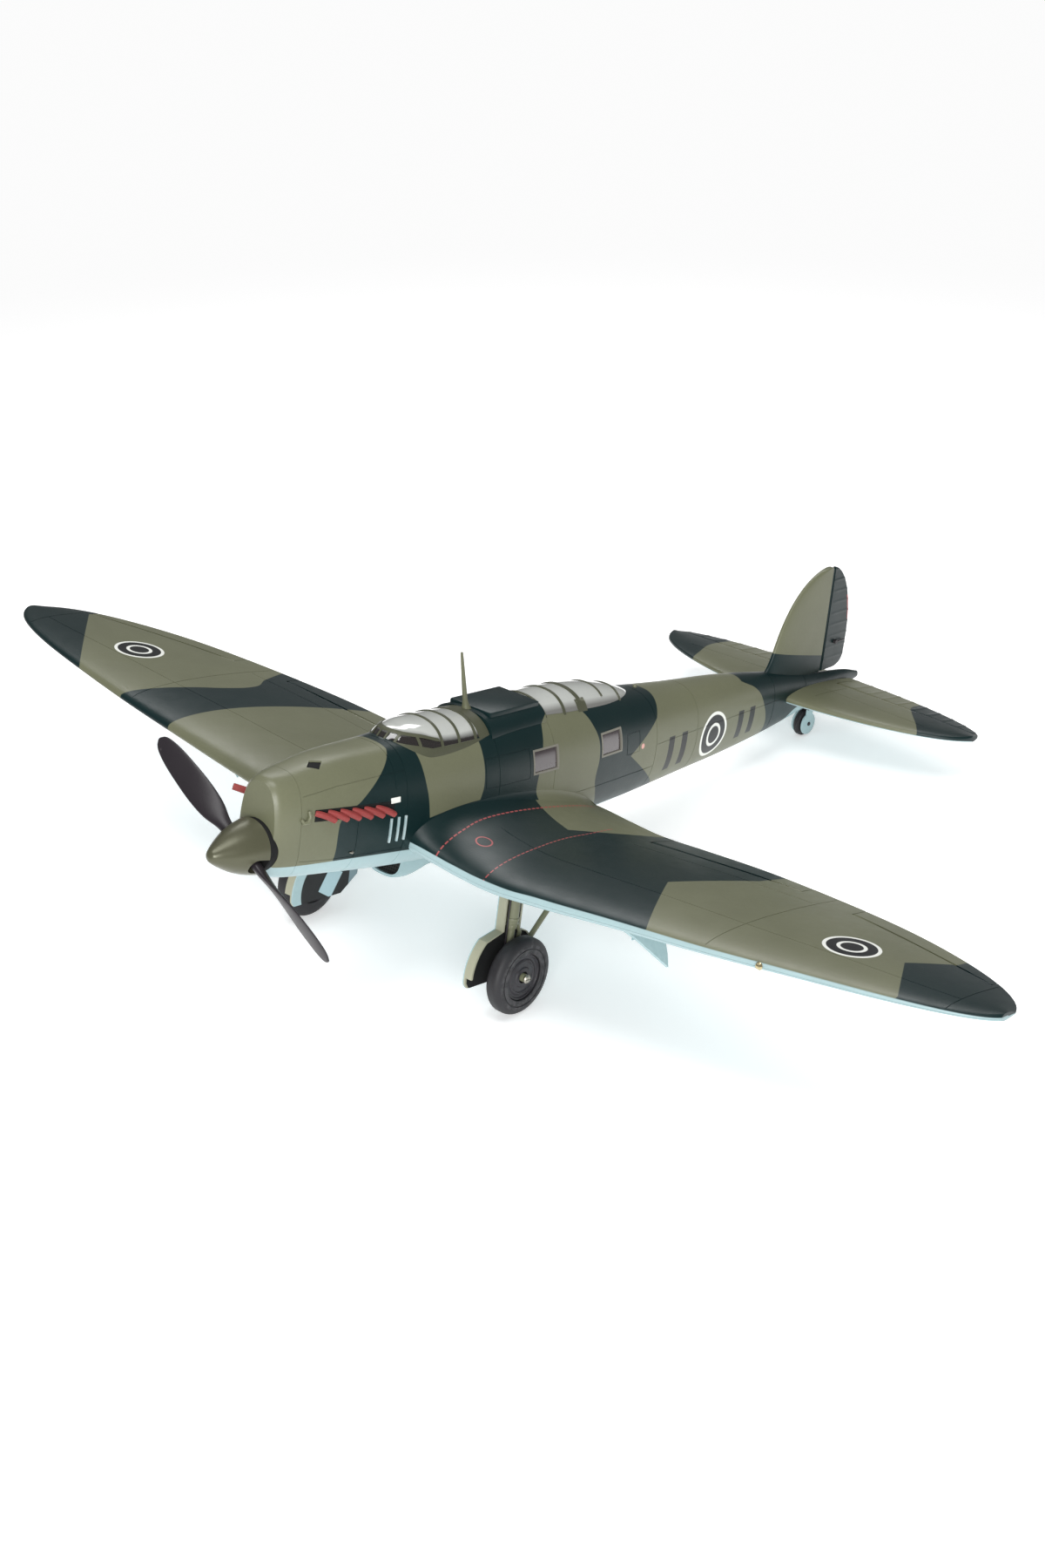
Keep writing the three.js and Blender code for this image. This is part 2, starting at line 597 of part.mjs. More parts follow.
const FLOOR = { z: -3.0, thickness: 0.8, half: 5.0 };
const stickHole = box([-0.7, 38.6, -4], [0.7, 40.6, 0]);
const floor = box([-FLOOR.half, 36.5, FLOOR.z], [FLOOR.half, 88, FLOOR.z + FLOOR.thickness]);
add('cockpit_floor', floor.subtract(stickHole), COLOURS.interior, 0.8);

function seat(y) {
  const pan = box([-2.2, y, 1.6], [2.2, y + 4.6, 2.4]);
  const back = box([-2.2, y + 3.8, 1.6], [2.2, y + 4.6, 8.8]);
  const frame = box([-1.6, y + 0.6, FLOOR.z + FLOOR.thickness + GAP], [1.6, y + 4.2, 1.8]);
  return pan.add(back).add(frame);
}
add('pilot_seat', seat(43.0), COLOURS.interior, 0.7);
add('rear_seat', seat(74.0), COLOURS.interior, 0.7);

const stick = rod([0, 39.6, FLOOR.z - 0.4], [0, 40.0, 4.6], 0.35, 0.35, 8);
const grip = rod([-1.2, 40.0, 4.6], [1.2, 40.0, 4.6], 0.35, 0.35, 8);
add('control_column', stick.add(grip), COLOURS.interior, 0.5);
add('instrument_panel', box([-3.6, 36.9, 2.5], [3.6, 37.7, 9.4]), COLOURS.interior, 0.6);

for (const [name, from, to] of SIDE_WINDOWS) {
  const opening = box([5, from + GAP, WINDOW_HEIGHT[0] + GAP], [12, to - GAP, WINDOW_HEIGHT[1] - GAP]);
  const pane = fuselageBody(from - 3, to + 3, -0.2, 3).subtract(fuselageBody(from - 4, to + 4, -0.9, 3));
  addPair(name, pane.intersect(opening), COLOURS.clear, 0.15);
}

// ---------------------------------------------------------------- wings

const hollow = wingHollow();
const flapRoom = behindLine(FLAP, GAP, -GAP);
const aileronRoom = behindLine(AILERON, GAP, -GAP);

// The undercarriage well in the lower skin: a round bay for the wheel and a channel for the leg.
function gearWell() {
  const bay = rod([WELL.x, WELL.y, -12], [WELL.x, WELL.y, 0], WELL.radius, WELL.radius, 20);
  const corners = [[18.4, 43.2], [WELL.x, WELL.y - 3.4], [WELL.x, WELL.y + 3.4], [18.4, 48.2]];
  const geometry = new THREE.ExtrudeGeometry(new THREE.Shape(corners.map(([x, y]) => new THREE.Vector2(x, y))),
    { depth: 12, bevelEnabled: false });
  geometry.translate(0, 0, -12);
  return bay.add(solid(geometry));
}

function wingPanel(side) {
  return wingSkin(side).subtract(clearBody).subtract(flapRoom).subtract(aileronRoom).subtract(hollow)
    .subtract(sparBox(SPAR.reach, GAP));
}

addPair('wing_upper', wingPanel(1), COLOURS.olive, 0.55);
addPair('wing_lower', wingPanel(-1).subtract(gearWell()), COLOURS.skyBlue, 0.55);
add('wing_spar', sparBox(SPAR.reach, 0), COLOURS.interior, 0.7);

const wing = wingWhole();
addPair('flap', controlSurface(wing, FLAP, wingMiddle), COLOURS.darkGreen, 0.55);
addPair('aileron', controlSurface(wing, AILERON, wingMiddle), COLOURS.olive, 0.55);

const LAMP = { x: 70, length: 0.6, lift: 0.3 };
const lampAt = (forward) => [LAMP.x, leadingEdge(LAMP.x) - forward, chordHeight(LAMP.x) + LAMP.lift];
add('landing_light', rod(lampAt(GAP + LAMP.length), lampAt(GAP), 0.45, 0.6, 10), COLOURS.brass, 0.3, 0.9);

// ---------------------------------------------------------------- tail surfaces

const tailplane = tailplaneBody();
const tailplaneFixed = tailplane.subtract(behindLine(ELEVATOR, GAP, -GAP)).subtract(clearBody);
addPair('tailplane', tailplaneFixed, COLOURS.olive, 0.55);
addPair('elevator', controlSurface(tailplane, ELEVATOR, () => TAILPLANE.height), COLOURS.olive, 0.55);

const fin = finBody();
const behindFin = (y) => box([-3, y, FIN.rudderBottom], [3, LENGTH + 6, FIN.top + 5]);
const finRear = box([-3, FIN.rudderFront - GAP, 0], [3, LENGTH + 6, FIN.top + 5]);
add('fin', fin.subtract(finRear).subtract(clearBody), COLOURS.olive, 0.55);
const rudderAxis = FIN.rudderFront + FIN.rudderNose;
const rudderNose = rod([0, rudderAxis, FIN.rudderBottom], [0, rudderAxis, FIN.top - 0.5], FIN.rudderNose, 0.3, 12);
add('rudder', fin.intersect(behindFin(rudderAxis)).add(rudderNose).subtract(clearBody), COLOURS.darkGreen, 0.55);

// ---------------------------------------------------------------- wheels

const acrossX = v(1, 0, 0);

// A wheel is turned so that one flat of its tread faces straight down on the ground.
function wheelSolid(profile, wheel, sides) {
  return turned(profile, [0, 0, 0], acrossX, sides, PI / sides)
    .rotate([STAND.pitch * 180 / PI, 0, 0]).translate([wheel.x, wheel.y, wheel.z]);
}

// A tyre with a flat tread "tread" wide, whose flats are "radius" from the axle.
function tyreProfile({ radius, width }, rim, tread, sides) {
  const outer = radius / cos(PI / sides);
  const half = width / 2;
  const shoulder = [[outer - 1.1, 1], [outer - 0.45, 0.86], [outer - 0.1, 0.6]].map(([r, w]) => [r, half * w]);
  const side = [...shoulder, [outer, tread / 2]];
  const other = [...side].reverse().map(([r, w]) => [r, -w]);
  return [[rim, half - 0.1], ...side, ...other, [rim, 0.1 - half], [rim, half - 0.1]];
}

const RIM = 3.75;
const AXLE = 0.65;
const TYRE_SIDES = 24;
addPair('main_tyre', wheelSolid(tyreProfile(MAIN_WHEEL, RIM, 1.0, TYRE_SIDES), MAIN_WHEEL, TYRE_SIDES), COLOURS.rubber, 0.7);

const discRim = RIM - GAP;
const discProfile = [
  [AXLE + GAP, -1.0], [discRim, -1.0], [discRim, 1.0], [2.9, 0.75], [1.5, 1.05], [AXLE + GAP, 1.05], [AXLE + GAP, -1.0],
];
addPair('wheel_disc', wheelSolid(discProfile, MAIN_WHEEL, 20), COLOURS.rubber, 0.5);

// ---------------------------------------------------------------- main landing gear

function gearLeg() {
  const { x, y, z } = MAIN_WHEEL;
  const down = (from, to, radius) => rod([LEG.x, y, from], [LEG.x, y, to], radius, radius, 12);
  const cylinder = down(LEG.top, LEG.shoulder, LEG.radius);
  const piston = down(LEG.shoulder + 0.5, z - 0.6, LEG.piston);
  const collar = down(LEG.shoulder - 0.7, LEG.shoulder, LEG.radius - 0.15);
  const axle = rod([LEG.x, y, z], [x + 1.5, y, z], AXLE, AXLE, 12);
  const knuckle = rod([LEG.x - 0.9, y, z], [LEG.x + 0.45, y, z], 0.95, 0.95, 12);
  return cylinder.add(piston).add(collar).add(axle).add(knuckle);
}
addPair('gear_leg', gearLeg(), COLOURS.olive, 0.5);

const capAt = (out) => [MAIN_WHEEL.x + 1.5 + out, MAIN_WHEEL.y, MAIN_WHEEL.z];
addPair('axle_cap', rod(capAt(GAP), capAt(0.7), 0.7, 0.5, 12), COLOURS.metal, 0.35, 0.7);

// The leg cover stands inboard of the leg: a panel under the wing that widens to cover the wheel.
const DOOR = { inner: 18.5, outer: 19.0, lip: 20.2, rearLip: 19.7, wall: 0.35, reach: 7.9, top: -7.4 };

// The outline in y and z, drawn in from the edge by "inset".
function doorOutline(inset) {
  const { y, z } = MAIN_WHEEL;
  const r = DOOR.reach - inset;
  const arc = spaced(2.32, 3.28, 5).map((a) => [y + r * cos(a), z + r * sin(a)]);
  return [
    [43.9 + inset, DOOR.top], [43.9 + inset, -14.9],
    ...arc,
    [38.4 + inset, -23.3], [49.0, -23.3],
    [52.5 - inset, -20.6], [52.6 - inset, -18.6], [50.4 - inset, -16.3], [48.6 - inset, -15.6], [48.6 - inset, DOOR.top],
  ];
}

function legDoor() {
  const plate = sidePlate(doorOutline(0), DOOR.inner, DOOR.outer);
  const rim = sidePlate(doorOutline(0), DOOR.outer - 0.1, DOOR.lip);
  const inside = sidePlate(doorOutline(DOOR.wall), DOOR.outer - 0.2, DOOR.lip + 1);
  const foot = box([DOOR.outer - 0.2, 36, -24], [DOOR.lip + 1, 54, -21.4]);
  const strutRoom = box([DOOR.rearLip, MAIN_WHEEL.y, -24], [DOOR.lip + 1, 54, -6]);
  return plate.add(rim.subtract(inside).subtract(foot).subtract(strutRoom));
}
addPair('leg_door', legDoor(), COLOURS.skyBlue, 0.55);

// The outer wheel door hangs splayed from the outboard edge of the well.
function wheelDoor() {
  const outline = [[44.0, 1.5], [44.0, 0], [46.1, -1.9], [51.0, -7.2], [51.7, -5.2], [52.6, 0], [52.6, 1.5]];
  const plate = sidePlate(outline, -0.25, 0.25);
  return plate.rotate([0, -30, 0]).translate([42.8, 0, -6.4]);
}
addPair('wheel_door', wheelDoor(), COLOURS.skyBlue, 0.55);

const strutX = 20.45;
addPair('drag_strut', rod([strutX, 47.9, -19.5], [strutX, 59.5, -7.3], 0.46, 0.46, 10), COLOURS.olive, 0.5);

// ---------------------------------------------------------------- tail wheel

function tailFork() {
  const { y, z, width } = TAIL_WHEEL;
  const side = width / 2 + GAP;
  const crownTop = z + TAIL_WHEEL.radius + 0.65;
  const stem = rod([0, y, crownTop - 0.2], [0, y, 1.2], TAIL_STEM, TAIL_STEM, 10);
  const crown = box([-side - 0.4, y - 0.9, crownTop - 0.4], [side + 0.4, y + 0.9, crownTop]);
  const arm = (x) => box([x, y - 0.45, z - 0.5], [x + 0.4, y + 0.45, crownTop - 0.1]);
  const axle = rod([-side - 0.6, y, z], [side + 0.6, y, z], 0.35, 0.35, 8);
  return stem.add(crown).add(arm(side)).add(arm(-side - 0.4)).add(axle);
}
add('tail_wheel_fork', tailFork(), COLOURS.blade, 0.5);

const TAIL_SIDES = 18;
const tailProfile = (() => {
  const half = TAIL_WHEEL.width / 2;
  const outer = TAIL_WHEEL.radius / cos(PI / TAIL_SIDES);
  return [[0.65, half], [outer - 0.7, half], [outer, 0.35], [outer, -0.35], [outer - 0.7, -half], [0.65, -half], [0.65, half]];
})();
add('tail_wheel', wheelSolid(tailProfile, TAIL_WHEEL, TAIL_SIDES), COLOURS.rubber, 0.6);

// The origin lies on the ground, below the middle of the model.
const extent = new THREE.Box3().setFromObject(airframe, true);
airframe.position.y = -(extent.min.y + extent.max.y) / 2;

const model = new THREE.Group();
model.add(airframe);
export default model;
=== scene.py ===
# Looks for the display model of a single-engined monoplane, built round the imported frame.
# Shapes are drawn in the airframe's own axes in millimetres (origin at the spinner tip, Y along the thrust
# line, +X to the aircraft's left, Z up), then placed in the frame, which stands on its wheels in metres.

import json
import math

import bmesh
import bpy
import numpy as np
from mathutils import Matrix, Vector

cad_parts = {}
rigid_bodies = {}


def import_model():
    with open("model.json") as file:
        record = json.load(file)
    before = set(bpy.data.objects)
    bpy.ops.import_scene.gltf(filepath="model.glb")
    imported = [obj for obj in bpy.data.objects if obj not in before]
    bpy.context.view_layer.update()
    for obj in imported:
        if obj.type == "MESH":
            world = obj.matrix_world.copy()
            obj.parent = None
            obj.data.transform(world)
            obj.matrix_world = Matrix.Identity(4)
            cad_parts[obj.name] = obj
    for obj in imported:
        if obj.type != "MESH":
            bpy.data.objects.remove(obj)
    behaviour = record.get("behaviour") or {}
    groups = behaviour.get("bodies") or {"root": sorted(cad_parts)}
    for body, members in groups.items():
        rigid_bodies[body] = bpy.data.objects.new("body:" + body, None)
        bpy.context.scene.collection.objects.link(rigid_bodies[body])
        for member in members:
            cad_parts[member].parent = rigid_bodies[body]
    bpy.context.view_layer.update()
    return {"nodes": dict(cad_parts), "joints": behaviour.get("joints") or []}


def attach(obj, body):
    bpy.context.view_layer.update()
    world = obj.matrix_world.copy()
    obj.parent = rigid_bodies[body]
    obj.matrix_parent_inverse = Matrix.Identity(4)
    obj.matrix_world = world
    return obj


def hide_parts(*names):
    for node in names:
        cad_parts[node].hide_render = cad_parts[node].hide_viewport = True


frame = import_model()

# ---------------------------------------------------------------- driving dimensions, in millimetres

HALF_SPAN = 102.8
LENGTH = 162.45
SEAM = 0.02                      # half the gap between the two skins of a wing
GAP = 0.16                       # clearance round moving surfaces
NOSE_FRONT, NOSE_BACK = 9.2, 13.2

# station y, top z, bottom z, half width, height of the widest point, exponent of the section
FUSELAGE = [
    [9.2, 9.9, -4.5, 3.6, 1.5, 2.6], [10.0, 10.5, -4.9, 4.2, 1.4, 2.7], [13.2, 11.1, -5.5, 5.1, 1.2, 2.8],
    [21.5, 12.1, -6.5, 6.3, 0.9, 2.7], [33.0, 12.2, -7.9, 7.4, 0.7, 2.6], [46.0, 12.7, -8.9, 8.4, 0.8, 2.5],
    [60.0, 12.9, -9.1, 8.9, 1.0, 2.5], [75.0, 12.2, -8.6, 8.7, 1.2, 2.45], [90.0, 10.45, -8.0, 7.6, 1.4, 2.4],
    [98.0, 9.65, -7.55, 6.8, 1.5, 2.35], [106.0, 8.95, -7.05, 6.0, 1.6, 2.3],
    [120.0, 7.95, -6.1, 4.6, 1.7, 2.25], [134.0, 6.2, -4.55, 3.1, 1.7, 2.2], [148.0, 3.9, -2.1, 1.8, 1.5, 2.1],
    [158.0, 2.9, -0.5, 0.9, 1.4, 2.0], [LENGTH, 1.9, 0.7, 0.35, 1.3, 2.0],
]
# the blister of the canopies and the deck between them: station y, top z, half width
BLISTER = [
    [33.6, 11.9, 2.4], [35.3, 13.4, 4.4], [37.6, 13.9, 5.6], [40.0, 14.1, 6.1], [46.0, 13.9, 6.4],
    [53.0, 13.5, 6.4], [65.0, 13.6, 6.2], [73.0, 13.7, 5.9], [80.4, 13.2, 5.3], [86.6, 12.1, 4.3],
    [90.6, 10.9, 3.1], [93.6, 9.6, 1.4],
]
BLISTER_FLOOR = 7.5
ROUND, SQUARE = 2.3, 3.4         # section exponents of the glazing and of the deck
FRONT_CANOPY = (33.6, 52.6)
DECK = (52.7, 65.9)
REAR_CANOPY = (66.0, 93.6)
GLASS = 0.45                     # wall of the clear parts
# name, front, back, bottom, top
SIDE_WINDOWS = [("front_window", 60.9, 66.8, 3.8, 7.5), ("rear_window", 78.2, 83.7, 3.4, 7.1)]

# height of the wing's chord line along the span
GULL = [
    [0, -3.1], [8, -3.5], [12, -3.9], [16, -4.35], [23, -4.75], [32, -4.1],
    [46, -2.8], [60, -1.75], [76, -0.55], [92, 0.25], [HALF_SPAN, 0.65],
]
WING_AXIS, WING_LEADING, WING_TRAILING = 52.8, 17.9, 25.4
WING_ROOT_THICKNESS, WING_TIP_THICKNESS, WING_EDGE = 6.6, 0.9, 0.24

# inboard and outboard end, y of the front line at both, nose radius at both
FLAP = (26.0, 55.2, (70.5, 70.1), (0.8, 0.4))
AILERON = (66.4, 95.0, (67.6, 60.2), (0.4, 0.24))
ELEVATOR = (3.2, 32.4, (151.6, 152.02), (0.73, 0.31))

TAIL_AXIS, TAIL_HALF, TAIL_LEADING, TAIL_TRAILING, TAIL_HEIGHT = 151.0, 33.75, 14.4, 7.6, 1.3
FIN_MIDDLE, FIN_BASE, FIN_TOP, FIN_LEADING, FIN_TRAILING = 149.1, 3.9, 23.6, 14.9, 7.5
FIN_TRAILING_MIDDLE, RUDDER_BOTTOM, RUDDER_FRONT, RUDDER_NOSE = 9.5, 4.1, 149.2, 0.62
TAIL_EDGE = 0.13                 # half thickness along the edges of the tail surfaces

SPINNER_TIP, SPINNER_BASE, SPINNER_RADIUS = -0.1, 8.2, 4.35
PROPELLER_PLANE, PROPELLER_RADIUS, PROPELLER_TURN = 6.7, 22.0, 1.0535
# distance from the axis, chord, thickness, twist in degrees
BLADE = [
    [0, 1.7, 1.7, 60], [4.6, 2.2, 1.4, 55], [7.5, 3.6, 1.0, 46], [11, 4.2, 0.75, 36],
    [15, 4.1, 0.6, 28], [18.5, 3.6, 0.5, 24], [20.7, 2.7, 0.4, 21], [21.6, 1.7, 0.34, 20.5], [22.0, 0.5, 0.3, 20],
]

WHEEL = Vector((22.7, 45.65, -21.45))
WHEEL_RADIUS, WHEEL_WIDTH, RIM = 6.25, 2.9, 3.75
TAIL_WHEEL = Vector((0, 147.5, -5.5))
TAIL_WHEEL_RADIUS, TAIL_WHEEL_WIDTH = 2.4, 1.4
LEG_X, LEG_TOP, LEG_SHOULDER = 20.3, -5.4, -13.8
WELL = (35.6, 49.0, 6.9)         # x, y and radius of the wheel bay


# ---------------------------------------------------------------- the frame

MM = 0.001
spin = next(joint for joint in frame["joints"] if joint["name"] == "propeller_spin")
thrust = Vector(spin["axis"])
pitch = math.asin(-thrust.z)
turn_down = Matrix.Rotation(-pitch, 4, "X")
origin = Vector(spin["pos_m"]) - turn_down @ Vector((0, PROPELLER_PLANE * MM, 0))
PLACE = Matrix.Translation(origin) @ turn_down @ Matrix.Scale(MM, 4)

workshop = bpy.data.collections.new("workshop")
bpy.context.scene.collection.children.link(workshop)


# ---------------------------------------------------------------- small maths

def mix(a, b, t):
    return a + (b - a) * t


def smooth_row(rows, station):
    """A smooth curve through the rows of a table whose first column is the station."""
    last = len(rows) - 1
    i = 0
    while i < last - 1 and station > rows[i + 1][0]:
        i += 1
    a, b = np.array(rows[i], float), np.array(rows[i + 1], float)
    width = b[0] - a[0]
    t = min(max((station - a[0]) / width, 0), 1)

    def slope(k):
        low, high = max(k - 1, 0), min(k + 1, last)
        rise = np.array(rows[high], float) - np.array(rows[low], float)
        return rise / rise[0]

    t2, t3 = t * t, t * t * t
    return ((2 * t3 - 3 * t2 + 1) * a + (t3 - 2 * t2 + t) * slope(i) * width
            + (3 * t2 - 2 * t3) * b + (t3 - t2) * slope(i + 1) * width)


def power_curve(value, exponent):
    return np.sign(value) * np.abs(value) ** exponent


def spaced(start, stop, count):
    return np.linspace(start, stop, count + 1)


# ---------------------------------------------------------------- solids

def solid(points, faces, name="solid"):
    mesh = bpy.data.meshes.new(name)
    mesh.from_pydata([tuple(p) for p in points], [], faces)
    work = bmesh.new()
    work.from_mesh(mesh)
    bmesh.ops.remove_doubles(work, verts=work.verts, dist=1e-4)
    bmesh.ops.recalc_face_normals(work, faces=work.faces)
    work.to_mesh(mesh)
    work.free()
    made = bpy.data.objects.new(name, mesh)
    workshop.objects.link(made)
    return made


def loft(rings):
    """A closed skin through rings of equal length, with a fan over each end."""
    rings = [np.asarray(ring, float) for ring in rings]
    count = len(rings[0])
    points = list(np.concatenate(rings))
    points += [rings[0].mean(axis=0), rings[-1].mean(axis=0)]
    first, final = len(points) - 2, len(points) - 1
    faces = []
    for r in range(len(rings) - 1):
        for i in range(count):
            a, b = r * count + i, r * count + (i + 1) % count
            faces.append((a, b, b + count, a + count))
    end = (len(rings) - 1) * count
    for i in range(count):
        j = (i + 1) % count
        faces.append((first, j, i))
        faces.append((final, end + i, end + j))
    return solid(points, faces)


def combine(kind, base, tools):
    """base with every tool joined to it, cut from it or kept in common with it."""
    for tool in tools:
        step = base.modifiers.new(kind, "BOOLEAN")
        step.operation = kind
        step.solver = "MANIFOLD"
        step.object = tool
    bpy.context.view_layer.update()
    seen = base.evaluated_get(bpy.context.evaluated_depsgraph_get())
    mesh = bpy.data.meshes.new_from_object(seen)
    base.modifiers.clear()
    base.data = mesh
    return base


def cut(base, *tools):
    return combine("DIFFERENCE", base, tools)


def join(base, *tools):
    return combine("UNION", base, tools)


def common(base, *tools):
    return combine("INTERSECT", base, tools)


def copy_of(source, matrix=None):
    made = bpy.data.objects.new(source.name, source.data.copy())
    workshop.objects.link(made)
    if matrix is not None:
        made.data.transform(matrix)
        if matrix.determinant() < 0:
            made.data.flip_normals()
    return made


MIRROR = Matrix.Scale(-1, 4, Vector((1, 0, 0)))


def mirrored(source):
    return copy_of(source, MIRROR)


def slab(low, high):
    corners = [(x, y, z) for x in (low[0], high[0]) for y in (low[1], high[1]) for z in (low[2], high[2])]
    return solid(corners, [(0, 1, 3, 2), (4, 6, 7, 5), (0, 4, 5, 1), (2, 3, 7, 6), (0, 2, 6, 4), (1, 5, 7, 3)])


def circle_frame(axis):
    axis = Vector(axis).normalized()
    side = axis.orthogonal().normalized()
    return axis, side, axis.cross(side)


def revolve(profile, centre, axis, sides=64):
    """A closed ring of [radius, along] pairs turned about a line; a profile that ends at radius 0 closes itself."""
    axis, side, other = circle_frame(axis)
    angles = np.linspace(0, 2 * np.pi, sides, endpoint=False)
    spokes = np.outer(np.cos(angles), side) + np.outer(np.sin(angles), other)
    closed = profile[0][0] > 0
    rings = [np.array(centre) + np.array(axis) * along + spokes * radius for radius, along in profile]
    points = np.concatenate(rings)
    faces = []
    for r in range(len(rings) if closed else len(rings) - 1):
        s = (r + 1) % len(rings)
        for i in range(sides):
            j = (i + 1) % sides
            faces.append((r * sides + i, r * sides + j, s * sides + j, s * sides + i))
    return solid(points, faces)


def tube(path, radii, sides=20, power=2.0, hint=(0, 0, 1)):
    """A bar swept along points, with a radius at each; a power over 2 makes its section squarer."""
    path = [Vector(p) for p in path]
    rings = []
    angles = np.linspace(0, 2 * np.pi, sides, endpoint=False)
    for i, here in enumerate(path):
        along = (path[min(i + 1, len(path) - 1)] - path[max(i - 1, 0)]).normalized()
        across = along.cross(Vector(hint)).normalized()
        up = across.cross(along)
        radius = radii[i] if isinstance(radii, (list, tuple)) else radii
        spread, rise = (radius * power_curve(f(angles), 2 / power) for f in (np.cos, np.sin))
        rings.append([here + across * a + up * b for a, b in zip(spread, rise)])
    return loft(rings)


def rod(start, stop, radius, end_radius=None, sides=32, bevel=0.12):
    """A round bar with softened ends."""
    start, stop = Vector(start), Vector(stop)
    end_radius = radius if end_radius is None else end_radius
    length = (stop - start).length
    soft = min(bevel, length / 3, radius / 2, end_radius / 2)
    profile = [
        [0, 0], [radius - soft, 0], [radius - soft * 0.3, soft * 0.3], [radius, soft],
        [end_radius, length - soft], [end_radius - soft * 0.3, length - soft * 0.3],
        [end_radius - soft, length], [0, length],
    ]
    return revolve(profile, start, stop - start, sides)


def plate(outline, start, stop):
    """A flat plate in the y-z plane from start to stop in x."""
    count = len(outline)
    points = [(x, y, z) for x in (start, stop) for y, z in outline]
    faces = [tuple(range(count)), tuple(range(2 * count - 1, count - 1, -1))]
    faces += [(i, (i + 1) % count, (i + 1) % count + count, i + count) for i in range(count)]
    return solid(points, faces)


def softened(piece, width, segments=2):
    """Rounds the sharp edges of a solid."""
    step = piece.modifiers.new("soften", "BEVEL")
    step.width = width
    step.segments = segments
    step.limit_method = "ANGLE"
    step.angle_limit = math.radians(40)
    bpy.context.view_layer.update()
    mesh = bpy.data.meshes.new_from_object(piece.evaluated_get(bpy.context.evaluated_depsgraph_get()))
    piece.modifiers.clear()
    piece.data = mesh
    return piece


# ---------------------------------------------------------------- surfaces of the airframe

def fuselage_ring(y, grow=0.0, sides=96):
    _, top, bottom, half, waist, power = smooth_row(FUSELAGE, y)
    angles = np.linspace(0, 2 * np.pi, sides, endpoint=False)
    up = power_curve(np.sin(angles), 2 / power)
    height = np.where(up > 0, max(top + grow - waist, 0.15), max(waist - bottom + grow, 0.15))
    across = max(half + grow, 0.15) * power_curve(np.cos(angles), 2 / power)
    return np.stack([across, np.full(sides, y), waist + height * up], axis=1)


def fuselage_body(start, stop, grow=0.0, steps=110, sides=96):
    return loft([fuselage_ring(y, grow, sides) for y in spaced(start, stop, steps)])


def fuselage_side(y, z):
    """The point on the left side of the fuselage at a station and height."""
    _, top, bottom, half, waist, power = smooth_row(FUSELAGE, y)
    reach = (z - waist) / (top - waist if z > waist else waist - bottom)
    return Vector((half * max(1 - abs(reach) ** power, 0) ** (1 / power), y, z))


def blister_ring(y, shrink=0.0, floor=BLISTER_FLOOR, power=ROUND, sides=48):
    _, top, half = smooth_row(BLISTER, y)
    angles = np.linspace(0, np.pi, sides + 1)
    across = max(half - shrink, 0.2) * power_curve(np.cos(angles), 2 / power)
    up = max(top - shrink - floor, 0.2) * np.maximum(np.sin(angles), 0) ** (2 / power)
    return np.stack([across, np.full(sides + 1, y), floor + up], axis=1)


def blister(start, stop, steps=40, **shape):
    return loft([blister_ring(y, **shape) for y in spaced(start, stop, steps)])


def leading_edge(x):
    return WING_AXIS - WING_LEADING * math.sqrt(max(1 - (x / HALF_SPAN) ** 1.9, 0))


def trailing_edge(x):
    return WING_AXIS + WING_TRAILING * math.sqrt(max(1 - (x / HALF_SPAN) ** 1.7, 0))


def section_half(s):
    """Half thickness of a round-nosed section over the chord fraction, for unit thickness."""
    c = min(max(s, 0), 1)
    return 5 * (0.2969 * math.sqrt(c) - 0.126 * c - 0.3516 * c * c + 0.2843 * c ** 3 - 0.1036 * c ** 4)


def wing_thickness(x):
    return mix(WING_ROOT_THICKNESS, WING_TIP_THICKNESS, (x / HALF_SPAN) ** 0.8)


def middle_height(x, s):
    camber = 0.22 * wing_thickness(x) * s * (1 - s)
    twist = 1.6 * math.exp(-(x - 8) / 14) * (s - 0.1)
    return smooth_row(GULL, x)[1] + camber - twist


def fillet_lift(x, s):
    fade = math.exp(-max(x - 7.0, 0) / 3.2)
    return 3.2 * fade * max(math.sin(math.pi * min(s + 0.04, 1)), 0) ** 0.6


def wing_height(x, s, side):
    half = section_half(s) * wing_thickness(x) + WING_EDGE / 2
    if side > 0:
        return middle_height(x, s) + half * 1.12 + fillet_lift(x, s)
    return middle_height(x, s) - half * 0.88


def wing_surface(side):
    """The skin of the left wing as a function of plan position."""
    def surface(x, y):
        s = (y - leading_edge(x)) / (trailing_edge(x) - leading_edge(x))
        return Vector((x, y, wing_height(x, s, side)))
    return surface


CHORD = (1 - np.cos(np.linspace(0, np.pi, 33))) / 2
SPAN = np.concatenate([
    np.linspace(7.2, 20, 22), np.linspace(20.8, 90, 62), np.linspace(91, 100, 15), np.linspace(100.3, 102.4, 10),
])


def wing_ring(x, upper, lower):
    front, back = leading_edge(x), trailing_edge(x)
    over = [(x, mix(front, back, s), upper(x, s)) for s in CHORD]
    under = [(x, mix(front, back, s), lower(x, s)) for s in CHORD[::-1]]
    return over + under


def wing_skin(side):
    """One skin of the left wing, from the parting surface out."""
    def outer(x, s):
        return wing_height(x, s, side) + (side * SEAM if s in (0, 1) else 0)
    return loft([wing_ring(x, outer, lambda x, s: middle_height(x, s) + side * SEAM) for x in SPAN])


def wing_whole():
    return loft([wing_ring(x, lambda x, s: wing_height(x, s, 1), lambda x, s: wing_height(x, s, -1))
                 for x in SPAN])


def tail_edges(x):
    return (TAIL_AXIS - TAIL_LEADING * math.sqrt(max(1 - (x / TAIL_HALF) ** 1.6, 0)),
            TAIL_AXIS + TAIL_TRAILING * math.sqrt(max(1 - (x / TAIL_HALF) ** 2, 0)))


